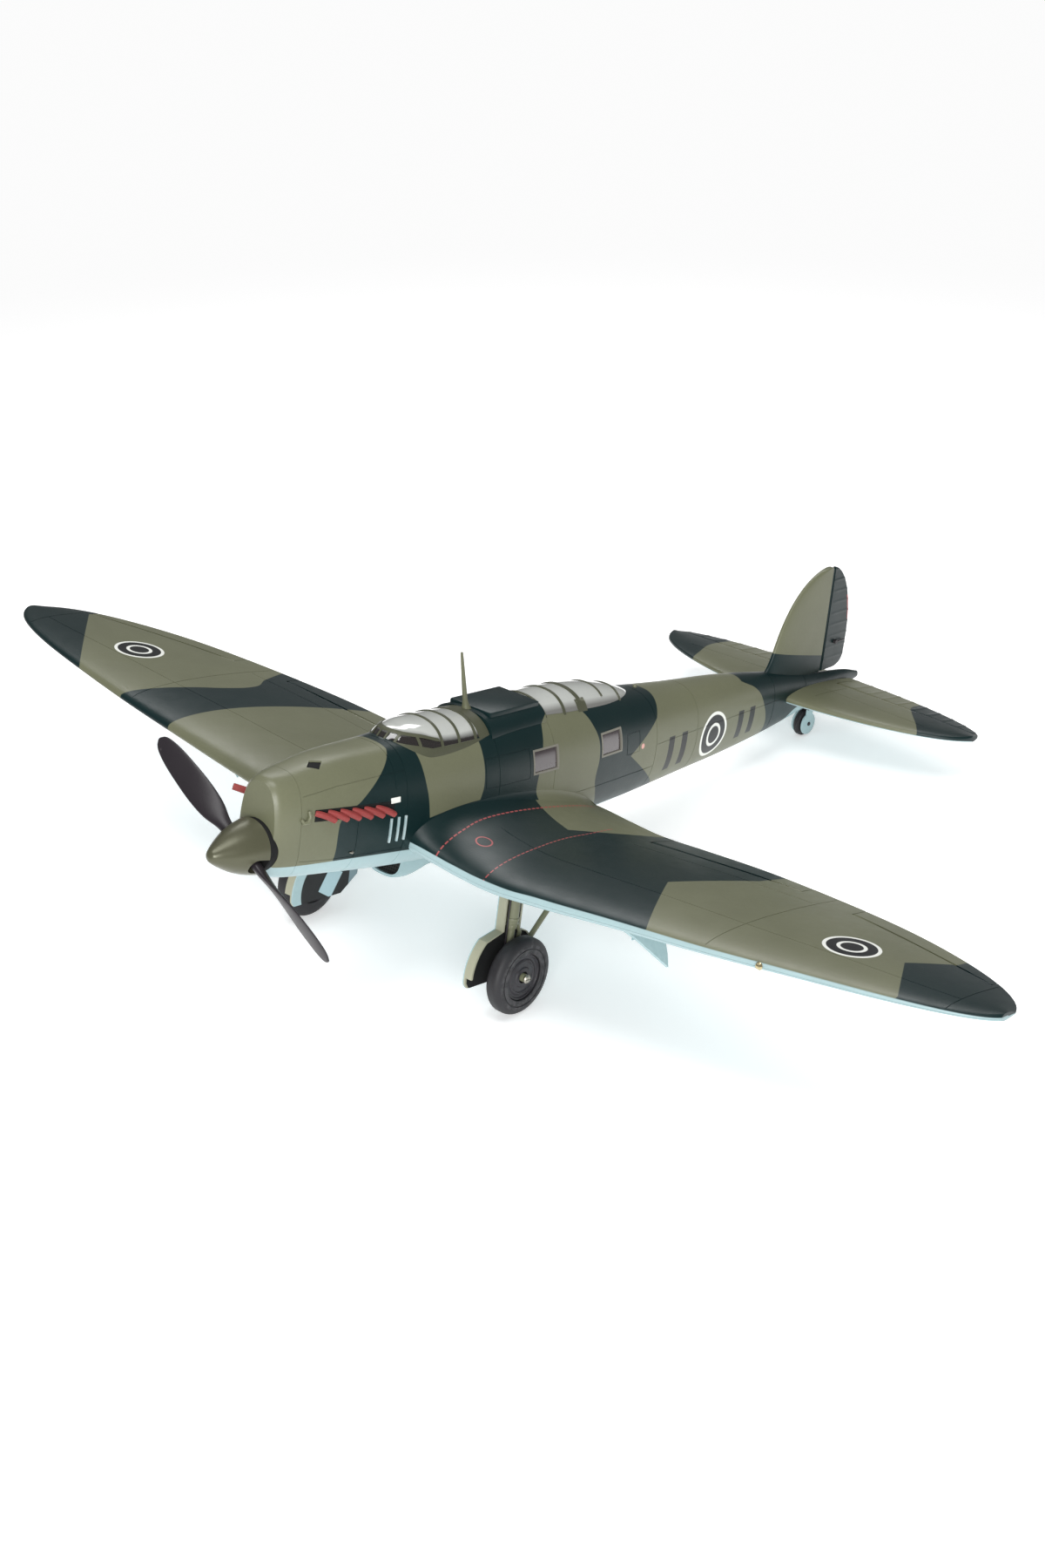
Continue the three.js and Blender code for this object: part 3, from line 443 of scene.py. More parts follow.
def fin_edges(z):
    up = min(max((z - FIN_BASE) / (FIN_TOP - FIN_BASE), 0), 1)
    flare = 2.0 * math.exp(-max(z - 5.5, 0) / 1.8)
    above = (z - FIN_TRAILING_MIDDLE) / (FIN_TOP - FIN_TRAILING_MIDDLE)
    below = (FIN_TRAILING_MIDDLE - z) / (FIN_TRAILING_MIDDLE - FIN_BASE)
    reach = math.sqrt(max(1 - above ** 2, 0)) if above > 0 else max(1 - below ** 6, 0) ** 0.3
    return FIN_MIDDLE - FIN_LEADING * math.sqrt(1 - up * up) - flare, FIN_MIDDLE + FIN_TRAILING * reach


def rib_swell(station, pitch_of_ribs, y, hinge):
    """Fabric-covered surfaces stand slightly proud over each rib, behind the hinge only."""
    if y < hinge:
        return 0
    near = abs((station / pitch_of_ribs) % 1 - 0.5) * 2
    return 0.075 * max(near - 0.72, 0) / 0.28


def symmetric_ring(thickness, place, swell):
    upper = [place(s, section_half(s) * thickness + TAIL_EDGE + swell(s)) for s in CHORD]
    lower = [place(s, -section_half(s) * thickness - TAIL_EDGE - swell(s)) for s in CHORD[::-1]]
    return upper + lower


def tailplane_body():
    rings = []
    for x in np.concatenate([np.linspace(1.2, 30, 110), np.linspace(30.3, 33.6, 14)]):
        front, back = tail_edges(x)
        thickness = mix(2.4, 0.8, x / TAIL_HALF)

        def place(s, lift, x=x, front=front, back=back):
            return (x, mix(front, back, s), TAIL_HEIGHT + lift)

        def swell(s, x=x, front=front, back=back):
            return rib_swell(x, 3.2, mix(front, back, s), ELEVATOR[2][1] + 0.6)
        rings.append(symmetric_ring(thickness, place, swell))
    return loft(rings)


def fin_body():
    rings = []
    for z in np.concatenate([np.linspace(3.3, 21, 100), np.linspace(21.1, 23.5, 20)]):
        front, back = fin_edges(max(z, 3.92))
        thickness = mix(1.9, 0.8, (z - FIN_BASE) / (FIN_TOP - FIN_BASE))

        def place(s, lift, z=z, front=front, back=back):
            return (lift, mix(front, back, s), z)

        def swell(s, z=z, front=front, back=back):
            return rib_swell(z, 2.1, mix(front, back, s), RUDDER_FRONT + 0.9)
        rings.append(symmetric_ring(thickness, place, swell))
    return loft(rings)


def behind(layout, grow=0.0, shift=0.0):
    """Everything behind a straight line across the span."""
    inboard, outboard, (y0, y1), _ = layout
    slope = (y1 - y0) / (outboard - inboard)
    a, b = inboard - grow, outboard + grow
    rear = LENGTH + 8
    corners = [(a, y0 - slope * grow + shift), (b, y1 + slope * grow + shift), (b, rear), (a, rear)]
    points = [(x, y, z) for z in (-20, 20) for x, y in corners]
    faces = [(0, 1, 2, 3), (7, 6, 5, 4)] + [(i, (i + 1) % 4, (i + 1) % 4 + 4, i + 4) for i in range(4)]
    return solid(points, faces)


def control_surface(whole, layout, middle):
    """The part behind the hinge axis, with a nose turned about that axis."""
    inboard, outboard, front, nose = layout
    root = (inboard, front[0] + nose[0])
    tip = (outboard, front[1] + nose[1])
    rear = behind((inboard, outboard, (root[1], tip[1]), nose))
    bar = rod((*root, middle(*root)), (*tip, middle(*tip)), nose[0], nose[1], bevel=0.02)
    return join(common(copy_of(whole), rear), bar)


# ---------------------------------------------------------------- engraved and raised lines

def ribbon(surface, route, width, low, high, outward, step=1.2):
    """A closed strip that follows a surface from low to high along its normal."""
    route = [np.array(p, float) for p in route]
    stops = []
    for a, b in zip(route, route[1:]):
        count = max(int(np.linalg.norm(b - a) / step), 1)
        stops += [mix(a, b, i / count) for i in range(count)]
    stops.append(route[-1])
    points = [surface(*p) for p in stops]
    rings = []
    small = 0.02
    for i, (p, here) in enumerate(zip(stops, points)):
        du = surface(p[0] + small, p[1]) - surface(p[0] - small, p[1])
        dv = surface(p[0], p[1] + small) - surface(p[0], p[1] - small)
        normal = du.cross(dv).normalized()
        if normal.dot(Vector(outward)) < 0:
            normal = -normal
        along = (points[min(i + 1, len(points) - 1)] - points[max(i - 1, 0)]).normalized()
        side = normal.cross(along).normalized() * width / 2
        rings.append([here - side + normal * low, here + side + normal * low,
                      here + side + normal * high, here - side + normal * high])
    return loft(rings)


LINE_WIDTH, LINE_DEPTH = 0.12, 0.06


def engrave(target, surface, routes, outward):
    """Cuts panel lines into a skin."""
    for route in routes:
        cut(target, ribbon(surface, route, LINE_WIDTH, -LINE_DEPTH, 0.5, outward))
    return target


def ring_line(target, y, low=-30, high=30, right_too=True):
    """Cuts a panel line round the fuselage at a station, between two heights."""
    band = fuselage_body(y - LINE_WIDTH / 2, y + LINE_WIDTH / 2, 0.5, steps=2)
    cut(band, fuselage_body(y - 1, y + 1, -LINE_DEPTH, steps=4))
    if low > -30 or high < 30:
        common(band, slab((-20 if right_too else 0, y - 2, low), (20, y + 2, high)))
    return cut(target, band)


# ---------------------------------------------------------------- materials

def linear(red, green, blue):
    """A colour given as it looks on a screen, 0 to 255, as the renderer's linear values."""
    def channel(value):
        value /= 255
        return value / 12.92 if value <= 0.04045 else ((value + 0.055) / 1.055) ** 2.4
    return (channel(red), channel(green), channel(blue), 1.0)


OLIVE = linear(104, 106, 84)
DARK_GREEN = linear(10, 34, 35)
SKY = linear(154, 178, 181)
EXHAUST_RED = linear(136, 52, 50)
CHARCOAL = linear(38, 34, 38)
RUBBER = linear(32, 31, 34)
INTERIOR = linear(46, 50, 47)
STEEL = linear(176, 172, 160)
BRASS = linear(206, 192, 150)
WHITE = linear(232, 234, 228)
BLACK = linear(24, 26, 27)
RED = linear(158, 74, 74)
NEAR_BLACK = linear(12, 13, 14)


class Finish:
    """Builds one procedural material. Positions inside it are the airframe's own millimetres."""

    def __init__(self, name):
        self.material = bpy.data.materials.new(name)
        self.material.use_nodes = True
        self.tree = self.material.node_tree
        self.tree.nodes.clear()
        self.output = self.node("ShaderNodeOutputMaterial")
        self.bsdf = self.node("ShaderNodeBsdfPrincipled")
        self.link(self.bsdf.outputs[0], self.output.inputs[0])
        coordinates = self.node("ShaderNodeTexCoord")
        place = self.node("ShaderNodeMapping")
        to_airframe = turn_down.inverted()
        place.inputs["Scale"].default_value = (1 / MM,) * 3
        place.inputs["Rotation"].default_value = (pitch, 0, 0)
        place.inputs["Location"].default_value = -(to_airframe @ origin) / MM
        self.link(coordinates.outputs["Object"], place.inputs["Vector"])
        self.place = place.outputs[0]
        split = self.node("ShaderNodeSeparateXYZ")
        self.link(self.place, split.inputs[0])
        self.x, self.y, self.z = split.outputs
        normals = self.node("ShaderNodeSeparateXYZ")
        self.link(coordinates.outputs["Normal"], normals.inputs[0])
        self.normal_z = normals.outputs[2]

    def node(self, kind):
        return self.tree.nodes.new(kind)

    def link(self, source, target):
        self.tree.links.new(source, target)

    def feed(self, target, value):
        if isinstance(value, bpy.types.NodeSocket):
            self.link(value, target)
        else:
            target.default_value = value

    def math(self, kind, a, b=0.0, c=0.0, clamp=False):
        step = self.node("ShaderNodeMath")
        step.operation = kind
        step.use_clamp = clamp
        for target, value in zip(step.inputs, (a, b, c)):
            self.feed(target, value)
        return step.outputs[0]

    def above(self, value, limit, soft=0.1):
        """1 where value is over the limit and 0 below it, with a narrow soft edge."""
        rise = self.math("SUBTRACT", value, limit)
        return self.math("MULTIPLY_ADD", rise, 1 / soft, 0.5, clamp=True)

    def between(self, value, low, high, soft=0.1):
        return self.both(self.above(value, low, soft), self.other(self.above(value, high, soft)))

    def both(self, a, b):
        return self.math("MULTIPLY", a, b)

    def either(self, *masks):
        result = masks[0]
        for mask in masks[1:]:
            result = self.math("MAXIMUM", result, mask)
        return result

    def other(self, mask):
        return self.math("SUBTRACT", 1.0, mask)

    def curve(self, value, points, legs="AUTO_CLAMPED"):
        """A curve through (value, result) points, level beyond both ends; its legs may be straight."""
        points = sorted(points)
        starts, ends = [p[0] for p in points], [p[1] for p in points]
        low, span = starts[0], starts[-1] - starts[0]
        bottom, height = min(ends) - 1, max(ends) - min(ends) + 2
        shaped = self.node("ShaderNodeFloatCurve")
        line = shaped.mapping.curves[0]
        while len(line.points) < len(points):
            line.points.new(0.5, 0.5)
        for point, (here, result) in zip(line.points, points):
            point.location = ((here - low) / span, (result - bottom) / height)
            point.handle_type = legs
        shaped.mapping.update()
        scaled = self.math("MULTIPLY_ADD", value, 1 / span, -low / span, clamp=True)
        self.link(scaled, shaped.inputs["Value"])
        return self.math("MULTIPLY_ADD", shaped.outputs[0], height, bottom)

    def noise(self, scale, detail=2.0):
        step = self.node("ShaderNodeTexNoise")
        self.link(self.place, step.inputs["Vector"])
        step.inputs["Scale"].default_value = scale
        step.inputs["Detail"].default_value = detail
        return step.outputs["Fac"]

    def mix(self, mask, a, b):
        step = self.node("ShaderNodeMix")
        step.data_type = "RGBA"
        self.feed(step.inputs[0], mask)
        self.feed(step.inputs[6], a)
        self.feed(step.inputs[7], b)
        return step.outputs[2]

    def shade(self, colour, amount):
        """The colour made lighter or darker by a factor."""
        step = self.node("ShaderNodeVectorMath")
        step.operation = "SCALE"
        self.feed(step.inputs[0], colour)
        self.feed(step.inputs["Scale"], amount)
        return step.outputs[0]

    def line(self, across, centre, width):
        """1 on a thin line where across equals centre."""
        away = self.math("ABSOLUTE", self.math("SUBTRACT", across, centre))
        return self.other(self.above(away, width / 2, 0.06))

    def distance(self, a, b, centre):
        da = self.math("SUBTRACT", a, centre[0])
        db = self.math("SUBTRACT", b, centre[1])
        return self.math("SQRT", self.math("ADD", self.math("MULTIPLY", da, da), self.math("MULTIPLY", db, db)))

    def finish(self, colour, roughness=0.45, metal=0.0, grain=3.0, bump=0.012, mottle=0.10, wear=None, **more):
        """Adds the mottling, the worn edges and the fine orange peel every painted or moulded surface has."""
        if not isinstance(colour, bpy.types.NodeSocket):
            colour = self.mix(0.0, colour, colour)
        if wear is not None:
            geometry = self.node("ShaderNodeNewGeometry")
            raised = self.above(geometry.outputs["Pointiness"], 0.6, 0.08)
            worn = self.both(raised, self.above(self.noise(1.3, 4.0), 0.52, 0.2))
            colour = self.mix(self.math("MULTIPLY", worn, 0.3), colour, wear)
        clouds = self.math("MULTIPLY_ADD", self.noise(0.11, 3.0), mottle * 2, 1 - mottle)
        speckle = self.math("MULTIPLY_ADD", self.noise(1.9, 4.0), mottle, 1 - mottle / 2)
        colour = self.shade(colour, self.math("MULTIPLY", clouds, speckle))
        self.feed(self.bsdf.inputs["Base Color"], colour)
        varied = self.math("MULTIPLY_ADD", self.noise(0.35, 3.0), 0.16, roughness - 0.08)
        self.feed(self.bsdf.inputs["Roughness"], varied)
        self.feed(self.bsdf.inputs["Metallic"], metal)
        self.feed(self.bsdf.inputs["Specular IOR Level"], 0.42)
        peel = self.node("ShaderNodeBump")
        peel.inputs["Distance"].default_value = bump * MM
        peel.inputs["Strength"].default_value = 1.0
        self.link(self.noise(grain, 3.0), peel.inputs["Height"])
        self.link(peel.outputs[0], self.bsdf.inputs["Normal"])
        for name, value in more.items():
            self.bsdf.inputs[name.replace("_", " ")].default_value = value
        return self.material


STRAIGHT = "VECTOR"

# Each boundary between olive and dark green is a curve: the station as a function of height on the fuselage,
# the distance from the centreline as a function of station on the wings and tail.
NOSE_PATCH = [(-2.5, 20.0), (3.0, 20.3), (6.0, 24.5), (11.7, 32.0)]
COCKPIT_FRONT = [(0.8, 38.3), (4.0, 37.8), (7.0, 37.2), (11.0, 36.7)]
COCKPIT_BACK = [(1.8, 48.8), (4.0, 49.5), (10.0, 49.8)]
MIDDLE_FRONT = [(-7.0, 79.0), (-5.0, 70.0), (-1.0, 62.0), (1.0, 61.8), (5.0, 62.5), (8.0, 63.4), (10.8, 64.6), (12.6, 66.6)]
MIDDLE_BACK = [(-6.0, 80.0), (-2.0, 77.6), (0.0, 77.0), (3.0, 77.5), (5.0, 77.6), (9.0, 76.5), (12.0, 74.5)]
REAR_BACK = [(-7.0, 98.5), (-5.0, 96.0), (1.8, 86.6), (6.5, 94.6), (9.6, 96.8)]
TAIL_PATCH = [(-3.0, 131.0), (-0.5, 130.3), (2.0, 129.0), (5.0, 127.0), (7.0, 123.0)]
BELLY_LINE = [(9, -2.5), (20, -3.0), (30, -3.6), (38, -4.2), (50, -5.2), (70, -6.0), (92, -6.5), (100, -6.8),
              (110, -6.6), (120, -5.2), (130, -4.4), (138, -3.4), (142, -0.9), (147, -0.7), (150, -2.6)]
ROOT_BAND = [(36, 0.6), (49, 1.9), (62, 1.2)]


def fuselage_green(f):
    """Mask of the dark green patches on the fuselage."""
    nose = f.above(f.y, f.curve(f.z, NOSE_PATCH))
    cockpit = f.both(f.above(f.y, f.curve(f.z, COCKPIT_FRONT)), f.other(f.above(f.y, f.curve(f.z, COCKPIT_BACK))))
    cockpit = f.both(cockpit, f.above(f.z, f.curve(f.y, ROOT_BAND)))
    front = f.both(f.both(nose, f.other(cockpit)), f.other(f.above(f.y, f.curve(f.z, MIDDLE_FRONT))))
    rear = f.both(f.above(f.y, f.curve(f.z, MIDDLE_BACK)), f.other(f.above(f.y, f.curve(f.z, REAR_BACK, STRAIGHT))))
    return f.either(front, rear, f.above(f.y, f.curve(f.z, TAIL_PATCH)))


LEFT_ROOT_PATCH = [(38, 51.0), (53.5, 42.5), (60, 45.5), (68, 49.0), (75, 49.5)]
LEFT_TIP_PATCH = [(45, 89.5), (55.5, 83.5), (62.5, 88.0)]
RIGHT_BAND_INNER = [(37.5, 49.5), (50, 47.0), (65, 43.0), (75, 40.0)]
RIGHT_BAND_OUTER = [(39, 63.0), (50, 57.5), (57, 54.5), (60, 54.0), (66, 56.5), (72.5, 59.0)]
RIGHT_TIP_PATCH = [(41, 76.0), (59.5, 95.0)]


WALK_INNER = [(35.5, 12.6), (37.3, 12.4), (41.1, 12.0), (47.7, 11.4), (55.8, 11.4), (64.6, 11.2), (76, 10.4)]
WALK_OUTER = [(36, 21.9), (40.6, 21.6), (46.9, 21.2), (56.3, 20.3), (62.5, 20.0), (68.4, 19.3)]
EDGE_BAND = [(8, 0.9), (30, 0.85), (60, 0.6), (90, 0.4), (HALF_SPAN, 0.2)]


def leading_band(f, colour):
    """The pale underside colour carried a little way round the leading edge."""
    out = f.math("ABSOLUTE", f.x)
    edge = f.math("ADD", f.curve(out, [tuple(row) for row in GULL]), f.curve(out, EDGE_BAND))
    low = f.both(ahead_of_axis(f, out), f.other(f.above(f.z, edge)))
    return f.mix(f.both(low, f.above(f.x, 0.0)), colour, SKY)


def ahead_of_axis(f, out):
    return f.other(f.above(f.y, f.curve(out, [(0, 44.0), (60, 46.0), (90, 50.0), (HALF_SPAN, 53.0)])))


def wing_green(f):
    """Mask of the dark green patches on both wings."""
    left = f.above(f.x, 0.0)
    out = f.math("ABSOLUTE", f.x)
    root = f.other(f.above(out, f.curve(f.y, LEFT_ROOT_PATCH, STRAIGHT)))
    behind_root = f.above(f.y, f.curve(out, [(8, 61.5), (10, 61.0), (18, 59.5), (26, 58.0)]))
    root_corner = f.both(behind_root, f.other(f.above(out, f.curve(f.y, [(59.5, 18), (65, 20), (71, 22), (77, 24)]))))
    left_mask = f.either(f.both(root, f.other(root_corner)), f.above(out, f.curve(f.y, LEFT_TIP_PATCH, STRAIGHT)))
    band = f.both(f.above(out, f.curve(f.y, RIGHT_BAND_INNER)), f.other(f.above(out, f.curve(f.y, RIGHT_BAND_OUTER))))
    right_mask = f.either(band, f.above(out, f.curve(f.y, RIGHT_TIP_PATCH)))
    return f.either(f.both(left, left_mask), f.both(f.other(left), right_mask))


def roundel(f, colour, away, radius):
    """A plain disc and ring, the generic stand-in for a marking."""
    colour = f.mix(f.other(f.above(away, radius)), colour, WHITE)
    colour = f.mix(f.other(f.above(away, radius - 0.55)), colour, BLACK)
    colour = f.mix(f.other(f.above(away, radius * 0.52)), colour, WHITE)
    return f.mix(f.other(f.above(away, radius * 0.52 - 0.55)), colour, BLACK)


def walkway(f, colour):
    """The red dashed lines and the filler circle on the wing roots."""
    out = f.math("ABSOLUTE", f.x)
    dashes = f.above(f.math("FRACT", f.math("MULTIPLY", f.y, 0.95)), 0.3, 0.08)
    inner = f.line(out, f.curve(f.y, WALK_INNER), 0.24)
    outer = f.line(out, f.curve(f.y, WALK_OUTER), 0.2)
    lines = f.either(f.both(inner, f.between(f.y, 35.2, 76)), f.both(outer, f.between(f.y, 35.2, 69)))
    cross = f.both(f.line(f.y, 69.6, 0.24), f.between(out, 11.0, 19.2))
    ring = f.line(f.distance(out, f.y, (15.7, 42.3)), 1.25, 0.24)
    return f.mix(f.either(f.both(f.either(lines, cross), dashes), ring), colour, RED)


def wing_paint(name, underside_too):
    f = Finish(name)
    colour = f.mix(wing_green(f), OLIVE, DARK_GREEN)
    colour = walkway(f, colour)
    out = f.math("ABSOLUTE", f.x)
    colour = roundel(f, colour, f.distance(out, f.y, (75.5, 54.0)), 4.3)
    if underside_too:
        colour = f.mix(f.other(f.above(f.normal_z, -0.25)), colour, SKY)
    else:
        colour = leading_band(f, colour)
    return f.finish(colour, 0.36)


def underside_paint():
    """Pale blue, except that the camouflage wraps round the leading edge of the right wing."""
    f = Finish("wing_underside_paint")
    out = f.math("ABSOLUTE", f.x)
    edge = f.math("SUBTRACT", f.curve(out, [tuple(row) for row in GULL]), 0.75)
    wrap = f.both(f.both(ahead_of_axis(f, out), f.above(f.z, edge)), f.other(f.above(f.x, 0.0)))
    return f.finish(f.mix(wrap, SKY, f.mix(wing_green(f), OLIVE, DARK_GREEN)), 0.45, mottle=0.05)


def fuselage_paint():
    f = Finish("fuselage_camouflage")
    colour = f.mix(fuselage_green(f), OLIVE, DARK_GREEN)
    colour = f.mix(f.other(f.above(f.z, f.curve(f.y, BELLY_LINE))), colour, SKY)
    side = f.above(f.math("ABSOLUTE", f.x), 2.0)
    colour = f.mix(f.both(side, f.other(f.above(f.distance(f.y, f.z, (90.0, 2.8)), 0.45))), colour,
                   linear(214, 160, 150))
    marked = roundel(f, colour, f.distance(f.y, f.z, (112.6, 0.0)), 4.1)
    colour = f.mix(side, colour, marked)
    bars = f.either(*[f.between(f.y, start, start + 1.7) for start in (98.2, 102.2, 120.4, 124.2)])
    bars = f.both(f.both(bars, f.between(f.z, f.curve(f.y, [(98, -3.6), (126, -2.3)]), 2.6)), side)
    colour = f.mix(bars, colour, BLACK)
    return f.finish(colour, 0.36)


def tail_paint():
    f = Finish("tailplane_camouflage")
    left = f.above(f.x, 0.0)
    out = f.math("ABSOLUTE", f.x)
    left_tip = f.above(out, f.curve(f.y, [(142, 27.3), (145, 25), (151, 20), (153.5, 18.3), (157, 17.8)]))
    right_tip = f.above(out, f.curve(f.y, [(139, 21), (143, 22), (149, 24), (152, 24.3)]))
    colour = f.mix(f.either(f.both(left, left_tip), f.both(f.other(left), right_tip)), OLIVE, DARK_GREEN)
    colour = f.mix(f.other(f.above(f.normal_z, -0.25)), colour, SKY)
    return f.finish(colour, 0.38)


def fin_paint():
    f = Finish("fin_camouflage")
    low = f.other(f.above(f.z, f.curve(f.y, [(134.8, 9.6), (149.3, 7.1)])))
    colour = f.mix(f.either(low, f.above(f.y, 149.25)), OLIVE, DARK_GREEN)
    edge = [(12.6, 156.2), (14.0, 155.9), (16.0, 155.4), (17.8, 154.8)]
    tab = f.both(f.above(f.y, f.curve(f.z, edge)), f.between(f.z, 12.8, 17.6))
    colour = f.mix(tab, colour, RED)
    return f.finish(colour, 0.38)


def plain_finish(name, colour, roughness, **more):
    return Finish(name).finish(colour, roughness, **more)


# the belt line along the canopies: above it the glass is coloured pale as a painted reflection
REFLECTION_BELT = [(33.6, 13.4), (38.8, 12.9), (41.6, 12.1), (52, 11.7), (66, 12.3), (77, 11.7), (87, 10.6), (94, 8.6)]


def glass_finish():
    """Clear plastic, with its light painted in: pale above the belt as a painted reflection, dark below it as painted
    shade of the dark inside.
    """
    f = Finish("clear_plastic")
    # painted reflection: the glass colour turns pale above the belt line
    lift = f.above(f.z, f.curve(f.y, REFLECTION_BELT), 0.9)
    # painted shade: the glass colour is dark below the belt, less dark aft of station 58
    low = f.mix(f.above(f.y, 58.0), linear(44, 40, 39), linear(140, 140, 136))
    return f.finish(f.mix(lift, low, linear(214, 217, 212)), 0.10, grain=0.3, bump=0.004, mottle=0.04,
                    Transmission_Weight=0.3, IOR=1.5, Coat_Weight=1.0, Coat_Roughness=0.03, Coat_IOR=1.7)


def window_finish():
    f = Finish("window_plastic")
    return f.finish(linear(82, 74, 76), 0.15, grain=0.3, bump=0.004, mottle=0.08,
                    Transmission_Weight=0.2, IOR=1.5, Coat_Weight=1.0, Coat_Roughness=0.04)


def metal_finish(name, colour, roughness):
    f = Finish(name)
    scratch = f.node("ShaderNodeTexWave")
    f.link(f.place, scratch.inputs["Vector"])
    scratch.inputs["Scale"].default_value = 3.0
    scratch.inputs["Distortion"].default_value = 6.0
    tone = f.mix(f.math("MULTIPLY", scratch.outputs["Fac"], 0.25), colour, linear(90, 88, 84))
    return f.finish(tone, roughness, metal=0.9)


def core_finish():
    """A fine cross-hatched matrix."""
    f = Finish("radiator_matrix")
    cells = f.either(f.above(f.math("FRACT", f.math("MULTIPLY", f.x, 2.2)), 0.7),
                     f.above(f.math("FRACT", f.math("MULTIPLY", f.z, 2.2)), 0.7))
    return f.finish(f.mix(cells, linear(14, 15, 16), linear(48, 48, 46)), 0.5, metal=0.4)


def door_finish():
    """The outer face of a leg cover: pale blue with the dark opening and band round the wheel, and a darker blue-grey
    strip at the rear that is painted shade.
    """
    f = Finish("leg_door_paint")
    away = f.distance(f.y, f.z, (WHEEL.y, WHEEL.z))
    low = f.other(f.above(f.z, -14.2))
    dark = f.both(f.other(f.above(away, 5.9)), low)
    slope = math.radians(30)
    across = f.math("SUBTRACT", f.math("MULTIPLY", f.y, math.cos(slope)), f.math("MULTIPLY", f.z, math.sin(slope)))
    along = f.math("ADD", f.math("MULTIPLY", f.y, math.sin(slope)), f.math("MULTIPLY", f.z, math.cos(slope)))
    patch = f.both(f.between(across, 48.8, 52.2), f.between(along, 2.9, 7.5))
    colour = f.mix(dark, SKY, NEAR_BLACK)
    colour = f.mix(patch, colour, linear(160, 186, 192))
    # painted shade: the rear strip, curved away from the light, is coloured a darker blue-grey
    colour = f.mix(f.both(f.above(f.y, 50.6), low), colour, linear(112, 132, 138))
    inside = f.above(f.math("ABSOLUTE", f.x), 18.7)
    return f.finish(f.mix(inside, colour, linear(150, 150, 130)), 0.5)


wing_upper_paint = wing_paint("wing_camouflage", False)
wing_lower_paint = underside_paint()
surface_paint = wing_paint("control_surface_camouflage", True)
body_paint = fuselage_paint()
tailplane_paint = tail_paint()
fin_and_rudder_paint = fin_paint()
olive_paint = plain_finish("olive_paint", OLIVE, 0.38, wear=linear(170, 168, 148))
spinner_paint = plain_finish("spinner_paint", linear(86, 86, 68), 0.32, metal=0.3, bump=0.004, mottle=0.06)
green_paint = plain_finish("dark_green_paint", DARK_GREEN, 0.42, wear=linear(96, 112, 108))
sky_paint = plain_finish("sky_blue_paint", SKY, 0.45, mottle=0.05, wear=linear(226, 234, 234))
exhaust_paint = plain_finish("exhaust_paint", EXHAUST_RED, 0.6, grain=5.0, bump=0.03, mottle=0.2,
                             wear=linear(206, 126, 112))
# painted shade: near black for hollows, slots and the inside of covers where shade falls
painted_shade_paint = plain_finish("painted_shade_black", NEAR_BLACK, 0.8)
blade_paint = plain_finish("blade_paint", CHARCOAL, 0.4, wear=linear(104, 100, 100))
tyre_paint = plain_finish("tyre_paint", RUBBER, 0.55, grain=4.0, bump=0.03, wear=linear(96, 94, 96))
disc_paint = plain_finish("wheel_disc_paint", linear(40, 38, 42), 0.42, wear=linear(90, 88, 90))
interior_paint = plain_finish("interior_paint", INTERIOR, 0.7)
seat_paint = plain_finish("seat_paint", linear(96, 84, 66), 0.75, grain=2.0, bump=0.05)
white_paint = plain_finish("white_paint", WHITE, 0.5, mottle=0.04)
frame_paint = plain_finish("canopy_frame_paint", linear(76, 78, 62), 0.35, wear=linear(170, 170, 156))
window_frame_paint = plain_finish("window_frame_paint", linear(122, 120, 110), 0.4)
clear_plastic = glass_finish()
window_plastic = window_finish()
steel = metal_finish("bare_metal", STEEL, 0.35)
brass = metal_finish("brass_lamp", BRASS, 0.3)
radiator_matrix = core_finish()
leg_door_paint = door_finish()


# ---------------------------------------------------------------- pieces

SMOOTH_BELOW = math.radians(32)


def piece(name, shape, finish, body="airframe", stands_for=(), slot=None, smooth=SMOOTH_BELOW):
    """Puts a finished shape in the frame, on its body."""
    mesh = shape.data.copy()
    mesh.name = name
    mesh.transform(PLACE)
    mesh.materials.clear()
    mesh.materials.append(finish)
    mesh.polygons.foreach_set("material_index", [0] * len(mesh.polygons))
    mesh.shade_smooth()
    mesh.set_sharp_from_angle(angle=smooth)
    made = bpy.data.objects.new(name, mesh)
    bpy.context.scene.collection.objects.link(made)
    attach(made, body)
    if stands_for:
        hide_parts(*stands_for)
    return made


def both_sides(name, shape, finish, body="airframe", node=None, slot=None, **more):
    """A piece on the left and its mirror image on the right. Names with {} take the side."""
    for side, made in (("left", shape), ("right", mirrored(shape))):
        nodes = (f"{node}_{side}",) if node else ()
        piece(f"{name}_{side}", made, finish, body.format(side), nodes, slot, **more)


# ---------------------------------------------------------------- fuselage

LOUVRES = (30.4, 31.9, 33.3)


